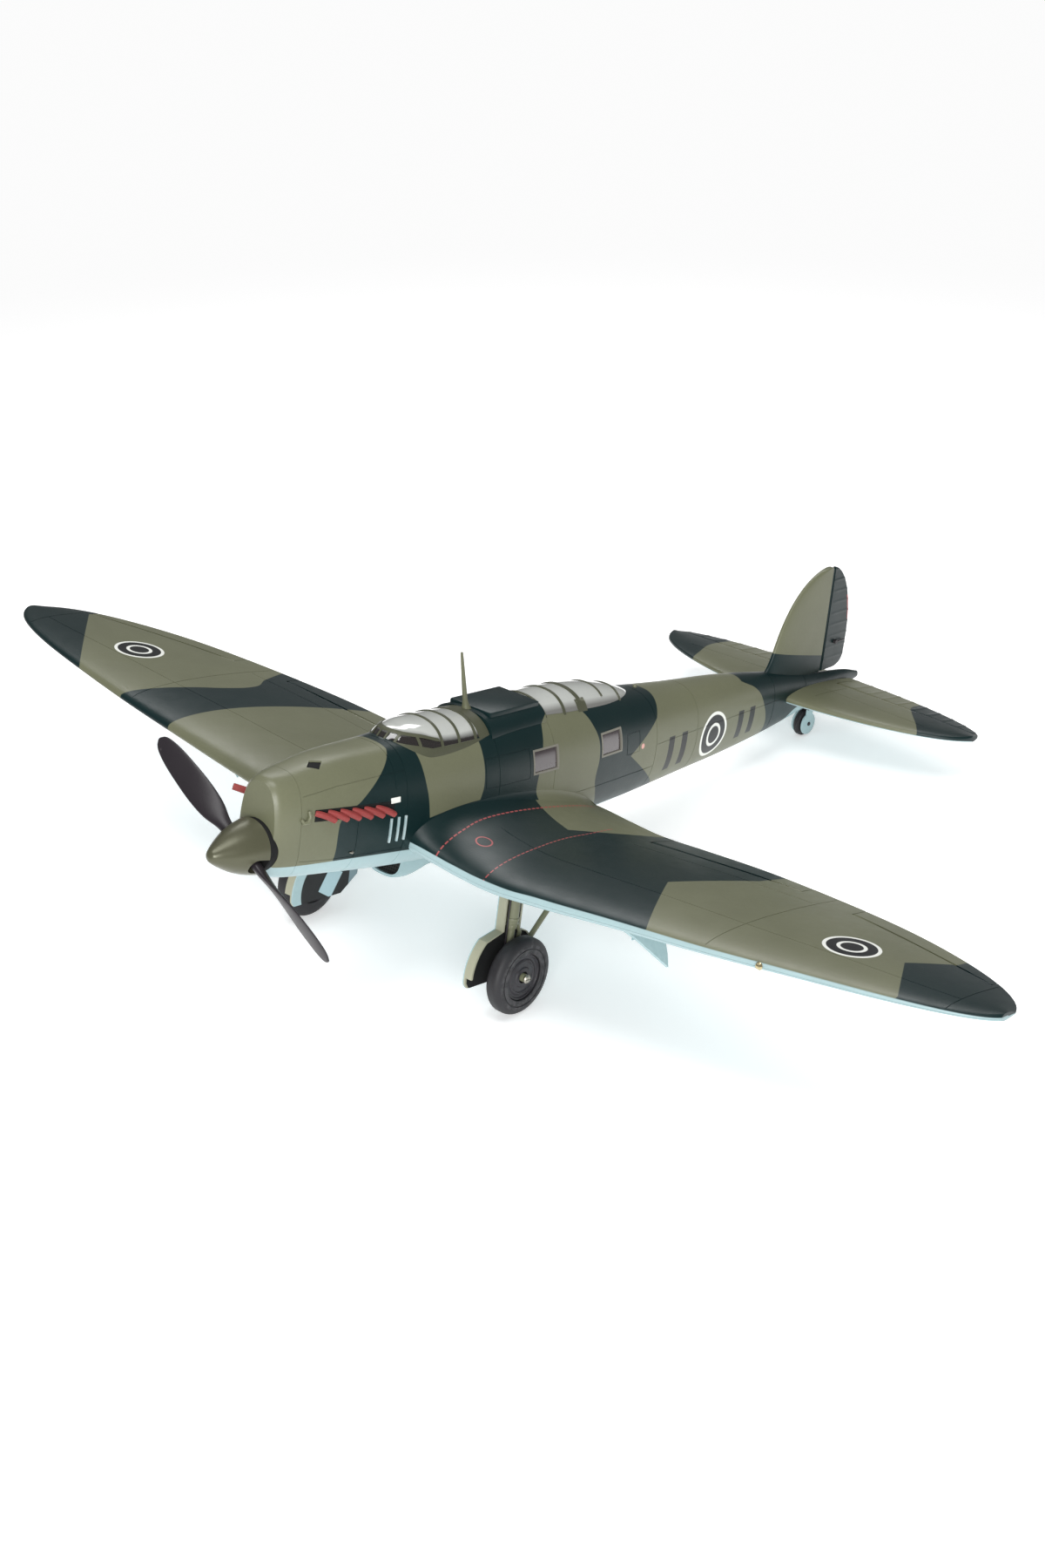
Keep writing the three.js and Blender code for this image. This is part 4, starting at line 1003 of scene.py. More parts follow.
def fuselage_skin():
    skin = fuselage_body(NOSE_BACK + 0.06, LENGTH, steps=190)
    windows = [slab((-12, start, low), (12, stop, high)) for _, start, stop, low, high in SIDE_WINDOWS]
    stem = rod((0, TAIL_WHEEL.y, -4), (0, TAIL_WHEEL.y, 1.6), 0.8, bevel=0.01)
    room = blister(34.4, 92.8, shrink=0.75)
    cut(skin, fuselage_body(NOSE_BACK - 2, 128, -1.2, 60, 64), room, stem, *windows)
    for y in (33.4, 53.0, 66.0, 94.2, 107.0, 132.5, 143.5):
        ring_line(skin, y)
    for y, low, high in ((23.8, -20, 3.0), (31.2, 6.5, 20)):
        ring_line(skin, y, low, high)
    left = [
        [(13.6, 8.0), (20, 8.7), (27, 8.9), (33.4, 8.9)], [(13.6, -2.0), (20, -2.6), (33.4, -3.2)],
        [(94.2, 2.2), (107, 2.2), (132.5, 2.0), (143.5, 1.8)], [(66.0, -1.4), (94.2, -1.6)],
        [(50.0, 3.4), (60.0, 3.4), (60.0, 8.0), (50.0, 8.0), (50.0, 3.4)],
        [(85.4, 2.2), (89.0, 2.2), (89.0, 5.6), (85.4, 5.6), (85.4, 2.2)],
    ]
    engrave(skin, fuselage_side, left, (1, 0, 0.1))
    engrave(skin, lambda y, z: MIRROR @ fuselage_side(y, z), left, (-1, 0, 0.1))
    vent = slab((-0.85, -0.85, 9), (0.85, 0.85, 13))
    vent.data.transform(Matrix.Translation((2.0, 17.9, 0)) @ Matrix.Diagonal((0.9, 1.3, 1, 1))
                        @ Matrix.Rotation(math.pi / 4, 4, "Z"))
    louvre_cutters = []
    for y in LOUVRES:
        louvre_cutters += [ribbon(fuselage_side, [(y, 2.2), (y, -1.8)], 0.55, -0.35, 0.6, (1, 0, 0))]
    cut(skin, vent, *louvre_cutters, *[mirrored(c) for c in louvre_cutters])
    return skin


# painted shade: a near-black floor closes the vent hole
vent_floor = loft([fuselage_ring(y, -0.25) for y in spaced(16.4, 19.4, 6)])
piece("cowl_vent", common(vent_floor, slab((0.9, 16.5, 8), (3.1, 19.3, 13))), painted_shade_paint, slot="interior_paint")
piece("fuselage_skin", fuselage_skin(), body_paint, stands_for=("fuselage_left", "fuselage_right"),
      slot="olive_paint")

nose = loft([fuselage_ring(y) for y in (9.2, 9.25, 9.35, 9.5, 9.8, 10.2, 10.8, 11.6, 12.4, NOSE_BACK)])
recess = revolve([[0, 8.0], [4.15, 8.0], [4.15, 10.0], [0, 10.0]], (0, 0, 0), (0, 1, 0), 96)
cut(nose, recess)
piece("nose_cowl", nose, body_paint, stands_for=("nose_ring",), slot="olive_paint")
# painted shade: a near-black disc fills the gap between the spinner and the cowl
shade_disc = revolve([[1.3, 8.5], [3.95, 8.5], [4.1, 8.7], [4.1, 9.9], [1.3, 9.9]], (0, 0, 0), (0, 1, 0), 96)
piece("cowl_shade_disc", shade_disc, painted_shade_paint, slot="interior_paint")


def raised_panel(route_low, route_high, thickness, surface=fuselage_side):
    """A thin plate lying on the fuselage side between two corners given as station and height."""
    (y0, z0), (y1, z1) = route_low, route_high
    middle = (z0 + z1) / 2
    return ribbon(surface, [(y0, middle), (y1, middle)], z1 - z0, -0.05, thickness, (1, 0, 0), step=0.4)


both_sides("cowl_plate", softened(raised_panel((30.1, 4.5), (31.9, 5.35), 0.14), 0.05), white_paint,
           slot="bare_metal")

first, *others = [ribbon(fuselage_side, [(y, 2.15), (y, -1.75)], 0.3, -0.3, 0.16, (1, 0, 0), step=0.5)
                  for y in LOUVRES]
louvres = join(first, *others)
both_sides("cowl_louvres", louvres, sky_paint, slot="sky_blue_paint")

hook_path = [fuselage_side(14.5, 5.9) + Vector((0.1, 0, 0)), fuselage_side(14.6, 5.0) + Vector((0.25, 0, 0)),
             fuselage_side(14.2, 4.3) + Vector((0.3, 0, 0)), fuselage_side(13.5, 4.2) + Vector((0.25, 0, 0)),
             fuselage_side(13.1, 4.8) + Vector((0.15, 0, 0))]
both_sides("cowl_hook", tube(hook_path, [0.3, 0.34, 0.34, 0.32, 0.26], hint=(1, 0, 0)), olive_paint,
           slot="olive_paint")
latch_base = fuselage_side(23.4, -2.1)
latch = join(rod(latch_base - Vector((0.2, 0, 0)), latch_base + Vector((0.16, 0, 0)), 0.24),
             rod(latch_base + Vector((0.1, -0.7, 0.15)), latch_base + Vector((0.18, 0.1, 0)), 0.12))
both_sides("cowl_latch", latch, steel, slot="bare_metal")
piece("spine_knob", rod((0, 95.6, 9.4), (0, 95.6, 10.3), 0.42, 0.34), olive_paint, slot="olive_paint")


# ---------------------------------------------------------------- exhausts

def exhaust_row():
    """Six squared stubs that lie along the cowl, each tucked behind the one ahead, open at their ends."""
    stubs = []
    for i in range(6):
        y = 17.4 + i * 2.3
        z = mix(4.55, 3.6, i / 5)
        w = smooth_row(FUSELAGE, y)[3]
        path = [(w - 0.5, y - 1.7, z + 0.8), (w + 0.1, y - 1.0, z + 0.62), (w + 0.38, y - 0.1, z + 0.26),
                (w + 0.52, y + 0.8, z - 0.2), (w + 0.6, y + 1.5, z - 0.6)]
        stub = tube(path, [0.4, 0.43, 0.45, 0.46, 0.44], sides=32, power=3.0, hint=(0.35, 0, 1))
        mouth = tube([Vector(path[3]) + Vector((0.02, 0.3, -0.17)), Vector(path[4]) + Vector((0.03, 0.5, -0.28))],
                     [0.28, 0.31], sides=24, power=3.0, hint=(0.35, 0, 1))
        stubs.append(cut(stub, mouth))
    return stubs


stubs = exhaust_row()
row = join(stubs[0], *stubs[1:])
# painted shade: a near-black strip on the cowl side under the exhaust stubs
shade_strip = ribbon(fuselage_side, [(15.6, 4.95), (30.8, 3.95)], 1.8, -0.05, 0.03, (1, 0, 0), step=0.4)
right_row = join(mirrored(row), tube([(-5.0, 14.8, 4.9), (-6.6, 13.2, 5.45), (-8.0, 11.7, 6.0)],
                                     [0.55, 0.56, 0.52], sides=28))
piece("exhaust_stubs_left", row, exhaust_paint, stands_for=("exhaust_left",), slot="exhaust_paint")
piece("exhaust_stubs_right", right_row, exhaust_paint, stands_for=("exhaust_right",), slot="exhaust_paint")
both_sides("exhaust_shade_strip", shade_strip, painted_shade_paint, slot="interior_paint")


# ---------------------------------------------------------------- radiator

RADIATOR_FRONT, RADIATOR_BACK, RADIATOR_HALF, RADIATOR_DEPTH, RADIATOR_WALL = 34.8, 49.4, 3.3, 2.9, 0.4
INTAKE_FACE, INTAKE_RAKE = 37.6, math.radians(-17)


def radiator_body(shrink, start, stop, steps=40):
    rings = []
    angles = np.linspace(0, 2 * np.pi, 64, endpoint=False)
    for y in spaced(start, stop, steps):
        t = min(max((y - RADIATOR_FRONT) / (RADIATOR_BACK - RADIATOR_FRONT), 0), 1)
        belly = 0.62 + 0.38 * math.sin(math.pi * min(t * 1.5, 1))
        depth = 1.5 + RADIATOR_DEPTH * belly * math.sqrt(max(1 - t ** 3, 0.001)) - shrink
        middle = smooth_row(FUSELAGE, y)[2] + 1.5 - depth / 2
        rings.append(np.stack([(RADIATOR_HALF - shrink) * power_curve(np.cos(angles), 0.7),
                               np.full(64, y), middle + depth / 2 * power_curve(np.sin(angles), 0.7)], axis=1))
    return loft(rings)


def intake_cutter(setback):
    """Everything ahead of the intake face, which leans a little aft from its lower lip up to the belly."""
    y = INTAKE_FACE + setback
    cutter = slab((-6, -14, -8), (6, 0, 8))
    cutter.data.transform(Matrix.Translation((0, y, smooth_row(FUSELAGE, y)[2] - 2.6))
                          @ Matrix.Rotation(INTAKE_RAKE, 4, "X"))
    return cutter


housing = radiator_body(0, RADIATOR_FRONT, RADIATOR_BACK)
cut(housing, radiator_body(RADIATOR_WALL, RADIATOR_FRONT - 1, RADIATOR_BACK - 4), intake_cutter(0))
join(housing, rod((1.4, 46.0, -9.7), (1.9, 49.2, -11.3), 0.32))
core = radiator_body(RADIATOR_WALL + 0.05, INTAKE_FACE - 1, INTAKE_FACE + 3.4, 12)
cut(core, intake_cutter(0.6))
piece("radiator_bath", housing, sky_paint, stands_for=("radiator_housing",), slot="sky_blue_paint")
piece("radiator_matrix", core, radiator_matrix, stands_for=("radiator_core",), slot="interior_paint")


# ---------------------------------------------------------------- cockpits

def canopy_shell(start, stop, outer, inner, closed_front, closed_back):
    """A thin length of the blister; a closed end keeps its wall."""
    inside = (start + 0.6 if closed_front else start - 1, stop - 0.8 if closed_back else stop + 1)
    shell = blister(start, stop, steps=70, shrink=-outer)
    cut(shell, blister(*inside, steps=70, shrink=-inner, floor=BLISTER_FLOOR - 2))
    return shell


def canopy_frame(start, stop, closed_front, closed_back, bars):
    """The painted frames: a slightly proud shell kept only where a bar or the sill crosses it."""
    shell = canopy_shell(start, stop, 0.14, -0.3, closed_front, closed_back)
    cage = common(shell, join(*bars))
    return cut(cage, fuselage_body(start - 1, stop + 1, -0.25, steps=40))


def hoop(y, width=0.5, low=5, foot=None):
    """A slab across the canopy; its foot may stand at another station than its crown."""
    made = slab((-9, -width / 2, low - 10), (9, width / 2, 8))
    lean = 0 if foot is None else math.atan2(foot - y, 4.5)
    made.data.transform(Matrix.Translation((0, y, 10)) @ Matrix.Rotation(lean, 4, "X"))
    return made


def level_band(heights, above=None):
    """A band across the canopy that follows a line of (station, height) points; without "above" it is filled
    down to the sill."""
    rings = []
    for y, z in heights:
        low = 5 if above is None else z - above
        rings.append([(-9, y, low), (9, y, low), (9, y, z), (-9, y, z)])
    return loft(rings)


def upright(x, y, half_x, half_y, top):
    """A short pillar on both sides, from the sill up to a height."""
    return join(*[slab((side * x - half_x, y - half_y, 5), (side * x + half_x, y + half_y, top)) for side in (1, -1)])


front_sill = [(33.0, 12.2), (35.0, 12.0), (37.4, 11.6), (40.0, 11.0), (41.6, 11.0), (49.0, 10.9), (52.8, 10.8)]
front_belt = [(33.0, 13.8), (35.6, 13.5), (38.8, 12.95), (41.6, 12.15)]
front_bars = [
    level_band(front_sill), level_band(front_belt, 0.42), hoop(41.9, 0.45, foot=41.4), hoop(45.5, 0.45, foot=44.6),
    hoop(49.2, 0.45, foot=48.2), slab((-9, 50.3, 5), (9, 53, 16)),
    upright(0.75, 34.6, 0.15, 1.2, 13.3), upright(2.35, 35.4, 0.17, 1.0, 13.2), upright(5.0, 37.85, 1.2, 0.2, 12.9),
]
rear_sill = [(65.5, 10.95), (74.4, 10.2), (77.0, 10.2), (87.2, 9.55), (94, 8.9)]
rear_bars = [
    level_band(rear_sill), hoop(66.4, 0.5), hoop(71.0, 0.5, foot=70.5), hoop(76.3, 0.85, foot=77.4),
    slab((-9, 74.7, 5), (9, 77.0, 12.4)), slab((-9, 81.9, 11.7), (9, 82.3, 16)), hoop(87.2, 0.5),
]

body_below = fuselage_body(30, 96, 0.03, steps=80)
front_glass = cut(canopy_shell(*FRONT_CANOPY, 0, -GLASS, True, False), body_below)
rear_glass = cut(canopy_shell(*REAR_CANOPY, 0, -GLASS, False, True), body_below)
piece("front_canopy_glass", front_glass, clear_plastic, stands_for=("front_canopy",), slot="clear_plastic")
piece("rear_canopy_glass", rear_glass, clear_plastic, stands_for=("rear_canopy",), slot="clear_plastic")
piece("front_canopy_frame", canopy_frame(*FRONT_CANOPY, True, False, front_bars), frame_paint, slot="olive_paint")
piece("rear_canopy_frame", canopy_frame(*REAR_CANOPY, False, True, rear_bars), frame_paint, slot="olive_paint")

deck = blister(*DECK, steps=30, power=SQUARE, shrink=-0.05)
cut(deck, blister(DECK[0] - 1, DECK[1] + 1, steps=30, power=SQUARE, shrink=0.7, floor=BLISTER_FLOOR - 2), body_below)
join(deck, softened(slab((-4.3, 53.9, 11.4), (4.3, 65.6, 13.85)), 0.3))
piece("deck_hump", deck, body_paint, stands_for=("deck_fairing",), slot="dark_green_paint")

mast = tube([(0, 53.1, 13.2), (0, 52.8, 14.2), (0, 52.55, 15.0), (0, 50.5, 23.0)], [0.9, 0.55, 0.42, 0.22], sides=28)
piece("mast", mast, olive_paint, stands_for=("antenna_mast",), slot="bare_metal")


def window(start, stop, low, high):
    """A side pane with a raised frame round it."""
    area = slab((4, start + 0.05, low + 0.05), (12, stop - 0.05, high - 0.05))
    pane = common(cut(fuselage_body(start - 2, stop + 2, -0.2, 8), fuselage_body(start - 3, stop + 3, -0.7, 8)), area)
    rim = cut(fuselage_body(start - 2, stop + 2, 0.07, 8), fuselage_body(start - 3, stop + 3, -0.5, 8))
    common(rim, slab((4, start - 0.12, low - 0.12), (12, stop + 0.12, high + 0.12)))
    cut(rim, slab((4, start + 0.18, low + 0.18), (12, stop - 0.18, high - 0.18)))
    return pane, rim


for name, *extent in SIDE_WINDOWS:
    pane, rim = window(*extent)
    both_sides(f"{name}_pane", pane, window_plastic, node=name, slot="clear_plastic")
    both_sides(f"{name}_rim", rim, window_frame_paint, slot="olive_paint")


def seat(y):
    pan = softened(slab((-2.2, y, 1.6), (2.2, y + 4.6, 2.4)), 0.25, 3)
    back = softened(slab((-2.2, y + 3.8, 1.6), (2.2, y + 4.6, 8.8)), 0.35, 3)
    block = slab((-1.6, y + 0.6, -1.9), (1.6, y + 4.2, 1.8))
    straps = [slab((x, y + 3.6, 3.2), (x + 0.6, y + 4.7, 8.9)) for x in (-1.4, 0.8)]
    return join(pan, back, block, *straps)


piece("pilot_seat_shell", seat(43.0), seat_paint, stands_for=("pilot_seat",), slot="interior_paint")
piece("rear_seat_shell", seat(74.0), seat_paint, stands_for=("rear_seat",), slot="interior_paint")
panel = softened(slab((-3.6, 36.9, 2.5), (3.6, 37.7, 9.4)), 0.2)
dials = [rod((x, 37.5, z), (x, 38.0, z), 0.8) for x in (-2.2, 0, 2.2) for z in (4.6, 7.2)]
piece("instrument_board", join(panel, *dials), interior_paint, stands_for=("instrument_panel",),
      slot="interior_paint")
column = join(tube([(0, 39.6, -3.4), (0, 39.7, 0), (0, 40.0, 4.6)], [0.4, 0.35, 0.33]),
              rod((-1.2, 40.0, 4.6), (1.2, 40.0, 4.6), 0.36))
piece("column", column, blade_paint, stands_for=("control_column",), slot="interior_paint")
floor = slab((-5, 36.5, -3.0), (5, 88, -2.2))
cut(floor, slab((-0.7, 38.6, -4), (0.7, 40.6, 0)))
ribs = [slab((-4.6, y, -2.4), (4.6, y + 0.5, -1.95)) for y in np.arange(50, 72, 3.0)]
piece("cockpit_deck", join(floor, *ribs), interior_paint, stands_for=("cockpit_floor",), slot="interior_paint")


# ---------------------------------------------------------------- wings

def gear_bay():
    bay = rod((WELL[0], WELL[1], -12), (WELL[0], WELL[1], 0), WELL[2], sides=64, bevel=0.01)
    corners = [(18.4, 43.2), (WELL[0], WELL[1] - 3.4), (WELL[0], WELL[1] + 3.4), (18.4, 48.2)]
    points = [(x, y, z) for z in (-12, 0) for x, y in corners]
    faces = [(0, 1, 2, 3), (7, 6, 5, 4)] + [(i, (i + 1) % 4, (i + 1) % 4 + 4, i + 4) for i in range(4)]
    return join(bay, solid(points, faces))


upper, lower = wing_surface(1), wing_surface(-1)
rooms = [behind(FLAP, GAP, -GAP), behind(AILERON, GAP, -GAP)]


def front_spar(x):
    return mix(leading_edge(x), trailing_edge(x), 0.3)


def across_span(line, start, stop, count=14):
    return [(x, line(x)) for x in spaced(start, stop, count)]


wing_lines = [
    across_span(front_spar, 14, 96),
    [(60.6, leading_edge(60.6) + 0.8), (60.6, trailing_edge(60.6) - 0.5)],
    [(96.0, leading_edge(96.0) + 0.5), (96.0, trailing_edge(96.0) - 0.4)],
    across_span(lambda x: 66.2, 26, 60, 6),
]
skin = engrave(cut(wing_skin(1), *rooms), upper, wing_lines, (0, 0, 1))
both_sides("wing_upper_skin", skin, wing_upper_paint, node="wing_upper", slot="olive_paint")
under = cut(wing_skin(-1), *rooms, gear_bay())
under = engrave(under, lower, [wing_lines[0][4:], wing_lines[1], wing_lines[2]], (0, 0, -1))
bay_ribs = [slab((x, WELL[1] - 5.5, -4.3), (x + 0.5, WELL[1] + 5.5, -2.6)) for x in (32.4, 35.6, 38.8)]
both_sides("wing_lower_skin", under, wing_lower_paint, node="wing_lower", slot="sky_blue_paint")
both_sides("wheel_bay_rib", join(*bay_ribs), interior_paint, slot="interior_paint")



def root_fillet():
    """The concave fairing between the fuselage side and the wing's upper skin."""
    foot_x, steps = 12.6, 12
    heights = [(34.9, -3.4), (36.5, -1.2), (40, 0.9), (49, 1.9), (58, 1.6), (66, 0.4), (73, -1.8), (78.1, -4.4)]
    rings = []
    for y in spaced(35.3, 77.6, 90):
        _, z_top = smooth_row(heights, y)
        foot = upper(foot_x, min(max(y, leading_edge(foot_x) + 0.05), trailing_edge(foot_x) - 0.05))
        foot.y = y
        top = fuselage_side(y, max(z_top, foot.z + 0.15))
        top.x -= 0.03
        foot.z -= 0.03
        inward = upper(foot_x - 1.5, min(max(y, leading_edge(foot_x) + 0.3), trailing_edge(foot_x) - 0.3))
        corner = Vector((max(top.x + 0.35, foot_x - 4.0), y, min(inward.z - 0.2, foot.z + 0.9)))
        curve = [top * (1 - t) ** 2 + corner * (2 * t * (1 - t)) + foot * t ** 2 for t in spaced(0, 1, steps)]
        rings.append(curve + [Vector((foot.x, y, foot.z - 0.6)), Vector((top.x - 1.2, y, foot.z - 0.6)),
                              Vector((top.x - 1.2, y, top.z - 0.2))])
    return loft(rings)


both_sides("wing_root_fillet", root_fillet(), body_paint, slot="olive_paint")
whole = wing_whole()


def wing_middle(x, y):
    return (upper(x, y).z + lower(x, y).z) / 2


both_sides("flap_skin", control_surface(whole, FLAP, wing_middle), surface_paint, "flap_{}_body", "flap",
           "dark_green_paint")
both_sides("aileron_skin", control_surface(whole, AILERON, wing_middle), surface_paint, "aileron_{}_body",
           "aileron", "olive_paint")

lamp_base = Vector((70.0, leading_edge(70.0) - 0.25, smooth_row(GULL, 70.0)[1] + 0.3))
lamp = rod(lamp_base, lamp_base + Vector((0, -0.62, 0)), 0.6, 0.42, bevel=0.18)
piece("lamp", lamp, brass, stands_for=("landing_light",), slot="brass_lamp")


# ---------------------------------------------------------------- tail

tailplane = tailplane_body()
fixed = cut(copy_of(tailplane), behind(ELEVATOR, GAP, -GAP))
tail_lines = [[(6.0, 141.0), (6.0, 151.0)], across_span(lambda x: 146.0, 3.5, 26, 6)]


def tailplane_top(x, y):
    front, back = tail_edges(x)
    s = (y - front) / (back - front)
    return Vector((x, y, TAIL_HEIGHT + section_half(s) * mix(2.4, 0.8, x / TAIL_HALF) + TAIL_EDGE))


engrave(fixed, tailplane_top, tail_lines, (0, 0, 1))
both_sides("tailplane_skin", fixed, tailplane_paint, node="tailplane", slot="olive_paint")
both_sides("elevator_skin", control_surface(tailplane, ELEVATOR, lambda x, y: TAIL_HEIGHT), tailplane_paint,
           "elevator_{}_body", "elevator", "olive_paint")

whole_fin = fin_body()
rear = slab((-3, RUDDER_FRONT - GAP, 0), (3, LENGTH + 6, FIN_TOP + 5))
piece("fin_skin", cut(copy_of(whole_fin), rear), fin_and_rudder_paint, stands_for=("fin",), slot="olive_paint")
rudder_axis = RUDDER_FRONT + RUDDER_NOSE
clear_tail = fuselage_body(140, LENGTH, GAP, steps=30)
rudder_part = common(copy_of(whole_fin), slab((-3, rudder_axis, RUDDER_BOTTOM), (3, LENGTH + 6, FIN_TOP + 5)))
rudder_bar = rod((0, rudder_axis, RUDDER_BOTTOM), (0, rudder_axis, FIN_TOP - 0.5), RUDDER_NOSE, 0.3, bevel=0.02)
tab_horn = join(slab((0.2, 152.4, 8.9), (1.0, 153.0, 9.5)), rod((0.85, 152.7, 9.2), (0.6, 155.6, 9.2), 0.14))
rudder_shape = cut(join(rudder_part, rudder_bar), clear_tail)
piece("rudder_skin", rudder_shape, fin_and_rudder_paint, "rudder_body", ("rudder",), "dark_green_paint")
piece("rudder_tab_horn", tab_horn, blade_paint, "rudder_body", slot="bare_metal")


# ---------------------------------------------------------------- propeller

def blade():
    angles = np.linspace(0, 2 * np.pi, 40, endpoint=False)
    rings = []
    for r in np.concatenate([np.linspace(0.5, 20, 60), np.linspace(20.2, 22, 14)]):
        _, chord, thickness, twist = smooth_row(BLADE, r)
        turn = math.radians(twist)
        c, t = np.cos(angles) * chord / 2, np.sin(angles) * thickness / 2
        rings.append(np.stack([c * math.cos(turn) - t * math.sin(turn),
                               PROPELLER_PLANE + c * math.sin(turn) + t * math.cos(turn), np.full(40, r)], axis=1))
    return loft(rings)


def blade_pair(single):
    one = copy_of(single, Matrix.Rotation(-PROPELLER_TURN, 4, "Y"))
    return join(one, copy_of(one, Matrix.Rotation(math.pi, 4, "Y")))


def along_thrust(start, stop, radius):
    return rod((0, start, 0), (0, stop, 0), radius, sides=48, bevel=0.02)


SHAPE = [[0, 0], [0.015, 0.13], [0.07, 0.25], [0.25, 0.47], [0.5, 0.72], [0.75, 0.89], [1, 1]]


def spinner_cone(shrink):
    profile = [[(SPINNER_RADIUS - shrink) * max(smooth_row(SHAPE, t)[1], 0),
                mix(SPINNER_TIP + shrink, SPINNER_BASE, t)] for t in np.linspace(0, 1, 50) ** 1.6]
    profile[0][0] = 0
    return revolve(profile + [[0, SPINNER_BASE]], (0, 0, 0), (0, 1, 0), 128)


cuff = join(rod((0, PROPELLER_PLANE, 2.0), (0, PROPELLER_PLANE, 7), 1.45, bevel=0.02),
            slab((-1.45, PROPELLER_PLANE, 2.0), (1.45, PROPELLER_PLANE + 4, 7)))
hollow = join(spinner_cone(1.0), along_thrust(4.9, SPINNER_BASE + 1, 2.6))
cone = cut(spinner_cone(0), hollow, blade_pair(cuff))
propeller = cut(join(blade_pair(blade()), along_thrust(5.2, 8.0, 2.3)), along_thrust(0, 25, 1.1))
piece("spinner_cone", cone, spinner_paint, "propeller_assembly", ("spinner",), "olive_paint")
piece("propeller_blades", propeller, blade_paint, "propeller_assembly", ("propeller",), "blade_paint")


# ---------------------------------------------------------------- landing gear

across = (1, 0, 0)


def tyre(radius, width, rim, tread):
    half = width / 2
    outline = [[rim, half - 0.12], [rim + 0.12, half], [radius - 1.5, half + 0.02], [radius - 1.0, half * 0.97],
               [radius - 0.6, half * 0.87], [radius - 0.3, half * 0.74], [radius - 0.1, half * 0.56],
               [radius - 0.02, tread / 2 + 0.1], [radius, tread / 2 - 0.1]]
    ring = outline + [[r, -w] for r, w in reversed(outline)]
    return ring


def wheel_pieces():
    ring = revolve(tyre(WHEEL_RADIUS, WHEEL_WIDTH, RIM, 1.0), WHEEL, across, 128)
    groove = revolve([[WHEEL_RADIUS - 1.62, 1.36], [WHEEL_RADIUS - 1.44, 1.36], [WHEEL_RADIUS - 1.44, 1.6],
                      [WHEEL_RADIUS - 1.62, 1.6]], WHEEL, across, 128)
    cut(ring, groove)
    disc = revolve([[0.95, -1.0], [RIM - 0.1, -1.0], [RIM - 0.1, 1.12], [3.45, 1.12], [3.35, 0.92], [2.95, 0.84],
                    [2.75, 1.02], [2.55, 1.06], [2.4, 0.92], [1.7, 0.98], [1.5, 1.16], [0.95, 1.16]],
                   WHEEL, across, 96)
    return ring, disc


ring, disc = wheel_pieces()
both_sides("tyre", ring, tyre_paint, "main_wheel_{}", "main_tyre", "tyre_paint")
both_sides("wheel_disc_face", disc, disc_paint, "main_wheel_{}", "wheel_disc", "tyre_paint")


def leg():
    x, y, z = LEG_X, WHEEL.y, WHEEL.z

    def down(start, stop, radius):
        return rod((x, y, start), (x, y, stop), radius, sides=40)
    parts = [
        down(LEG_SHOULDER + 0.5, z - 0.6, 0.6), down(LEG_SHOULDER - 0.7, LEG_SHOULDER + 0.2, 0.82),
        down(-8.3, -8.9, 1.08), down(-12.6, -13.2, 1.08), rod((x, y, z), (WHEEL.x + 1.5, y, z), 0.65),
        rod((x - 0.9, y, z), (x + 0.45, y, z), 0.95),
        tube([(x, y + 0.75, -13.2), (x, y + 2.1, -15.6), (x, y + 0.9, z + 1.0)], [0.3, 0.34, 0.3], hint=across),
    ]
    return join(down(LEG_TOP, LEG_SHOULDER, 0.95), *parts)


both_sides("oleo_leg", leg(), olive_paint, node="gear_leg", slot="olive_paint")
brake_line = tube([(LEG_X + 0.1, WHEEL.y - 0.95, -6.0), (LEG_X + 0.1, WHEEL.y - 1.15, -12.0),
                   (LEG_X - 0.1, WHEEL.y - 0.85, -16.5), (LEG_X - 0.2, WHEEL.y - 0.7, -20.8)], 0.14, hint=across)
both_sides("brake_line", brake_line, blade_paint, slot="blade_paint")
hub = Vector((WHEEL.x + 1.5, WHEEL.y, WHEEL.z))
cap = rod(hub + Vector((0.3, 0, 0)), hub + Vector((0.7, 0, 0)), 0.72, 0.58, bevel=0.15)
cut(cap, slab((hub.x + 0.58, hub.y - 0.5, hub.z - 0.07), (hub.x + 0.9, hub.y + 0.5, hub.z + 0.07)))
both_sides("axle_end", cap, steel, node="axle_cap", slot="bare_metal")

DOOR_INNER, DOOR_OUTER, DOOR_LIP, DOOR_REAR_LIP, DOOR_WALL, DOOR_REACH, DOOR_TOP = 18.5, 19.0, 20.2, 19.7, 0.35, 7.9, -7.4


def door_outline(inset):
    y, z = WHEEL.y, WHEEL.z
    r = DOOR_REACH - inset
    arc = [(y + r * math.cos(a), z + r * math.sin(a)) for a in spaced(2.32, 3.28, 20)]
    return [(43.9 + inset, DOOR_TOP), (43.9 + inset, -14.9), *arc, (38.4 + inset, -23.3), (49.0, -23.3),
            (52.5 - inset, -20.6), (52.6 - inset, -18.6), (50.4 - inset, -16.3), (48.6 - inset, -15.6),
            (48.6 - inset, DOOR_TOP)]


def leg_cover():
    cover = plate(door_outline(0), DOOR_INNER, DOOR_OUTER)
    rim = plate(door_outline(0), DOOR_OUTER - 0.1, DOOR_LIP)
    cut(rim, plate(door_outline(DOOR_WALL), DOOR_OUTER - 0.2, DOOR_LIP + 1),
        slab((DOOR_OUTER - 0.2, 36, -24), (DOOR_LIP + 1, 54, -21.4)),
        slab((DOOR_REAR_LIP, WHEEL.y, -24), (DOOR_LIP + 1, 54, -6)))
    stiffeners = [slab((DOOR_OUTER - 0.1, 44.3, z), (DOOR_OUTER + 0.16, 48.2, z + 0.35)) for z in (-9.6, -12.0, -14.4)]
    return join(cover, rim, *stiffeners)


both_sides("leg_cover", softened(leg_cover(), 0.06, 1), leg_door_paint, node="leg_door", slot="sky_blue_paint")
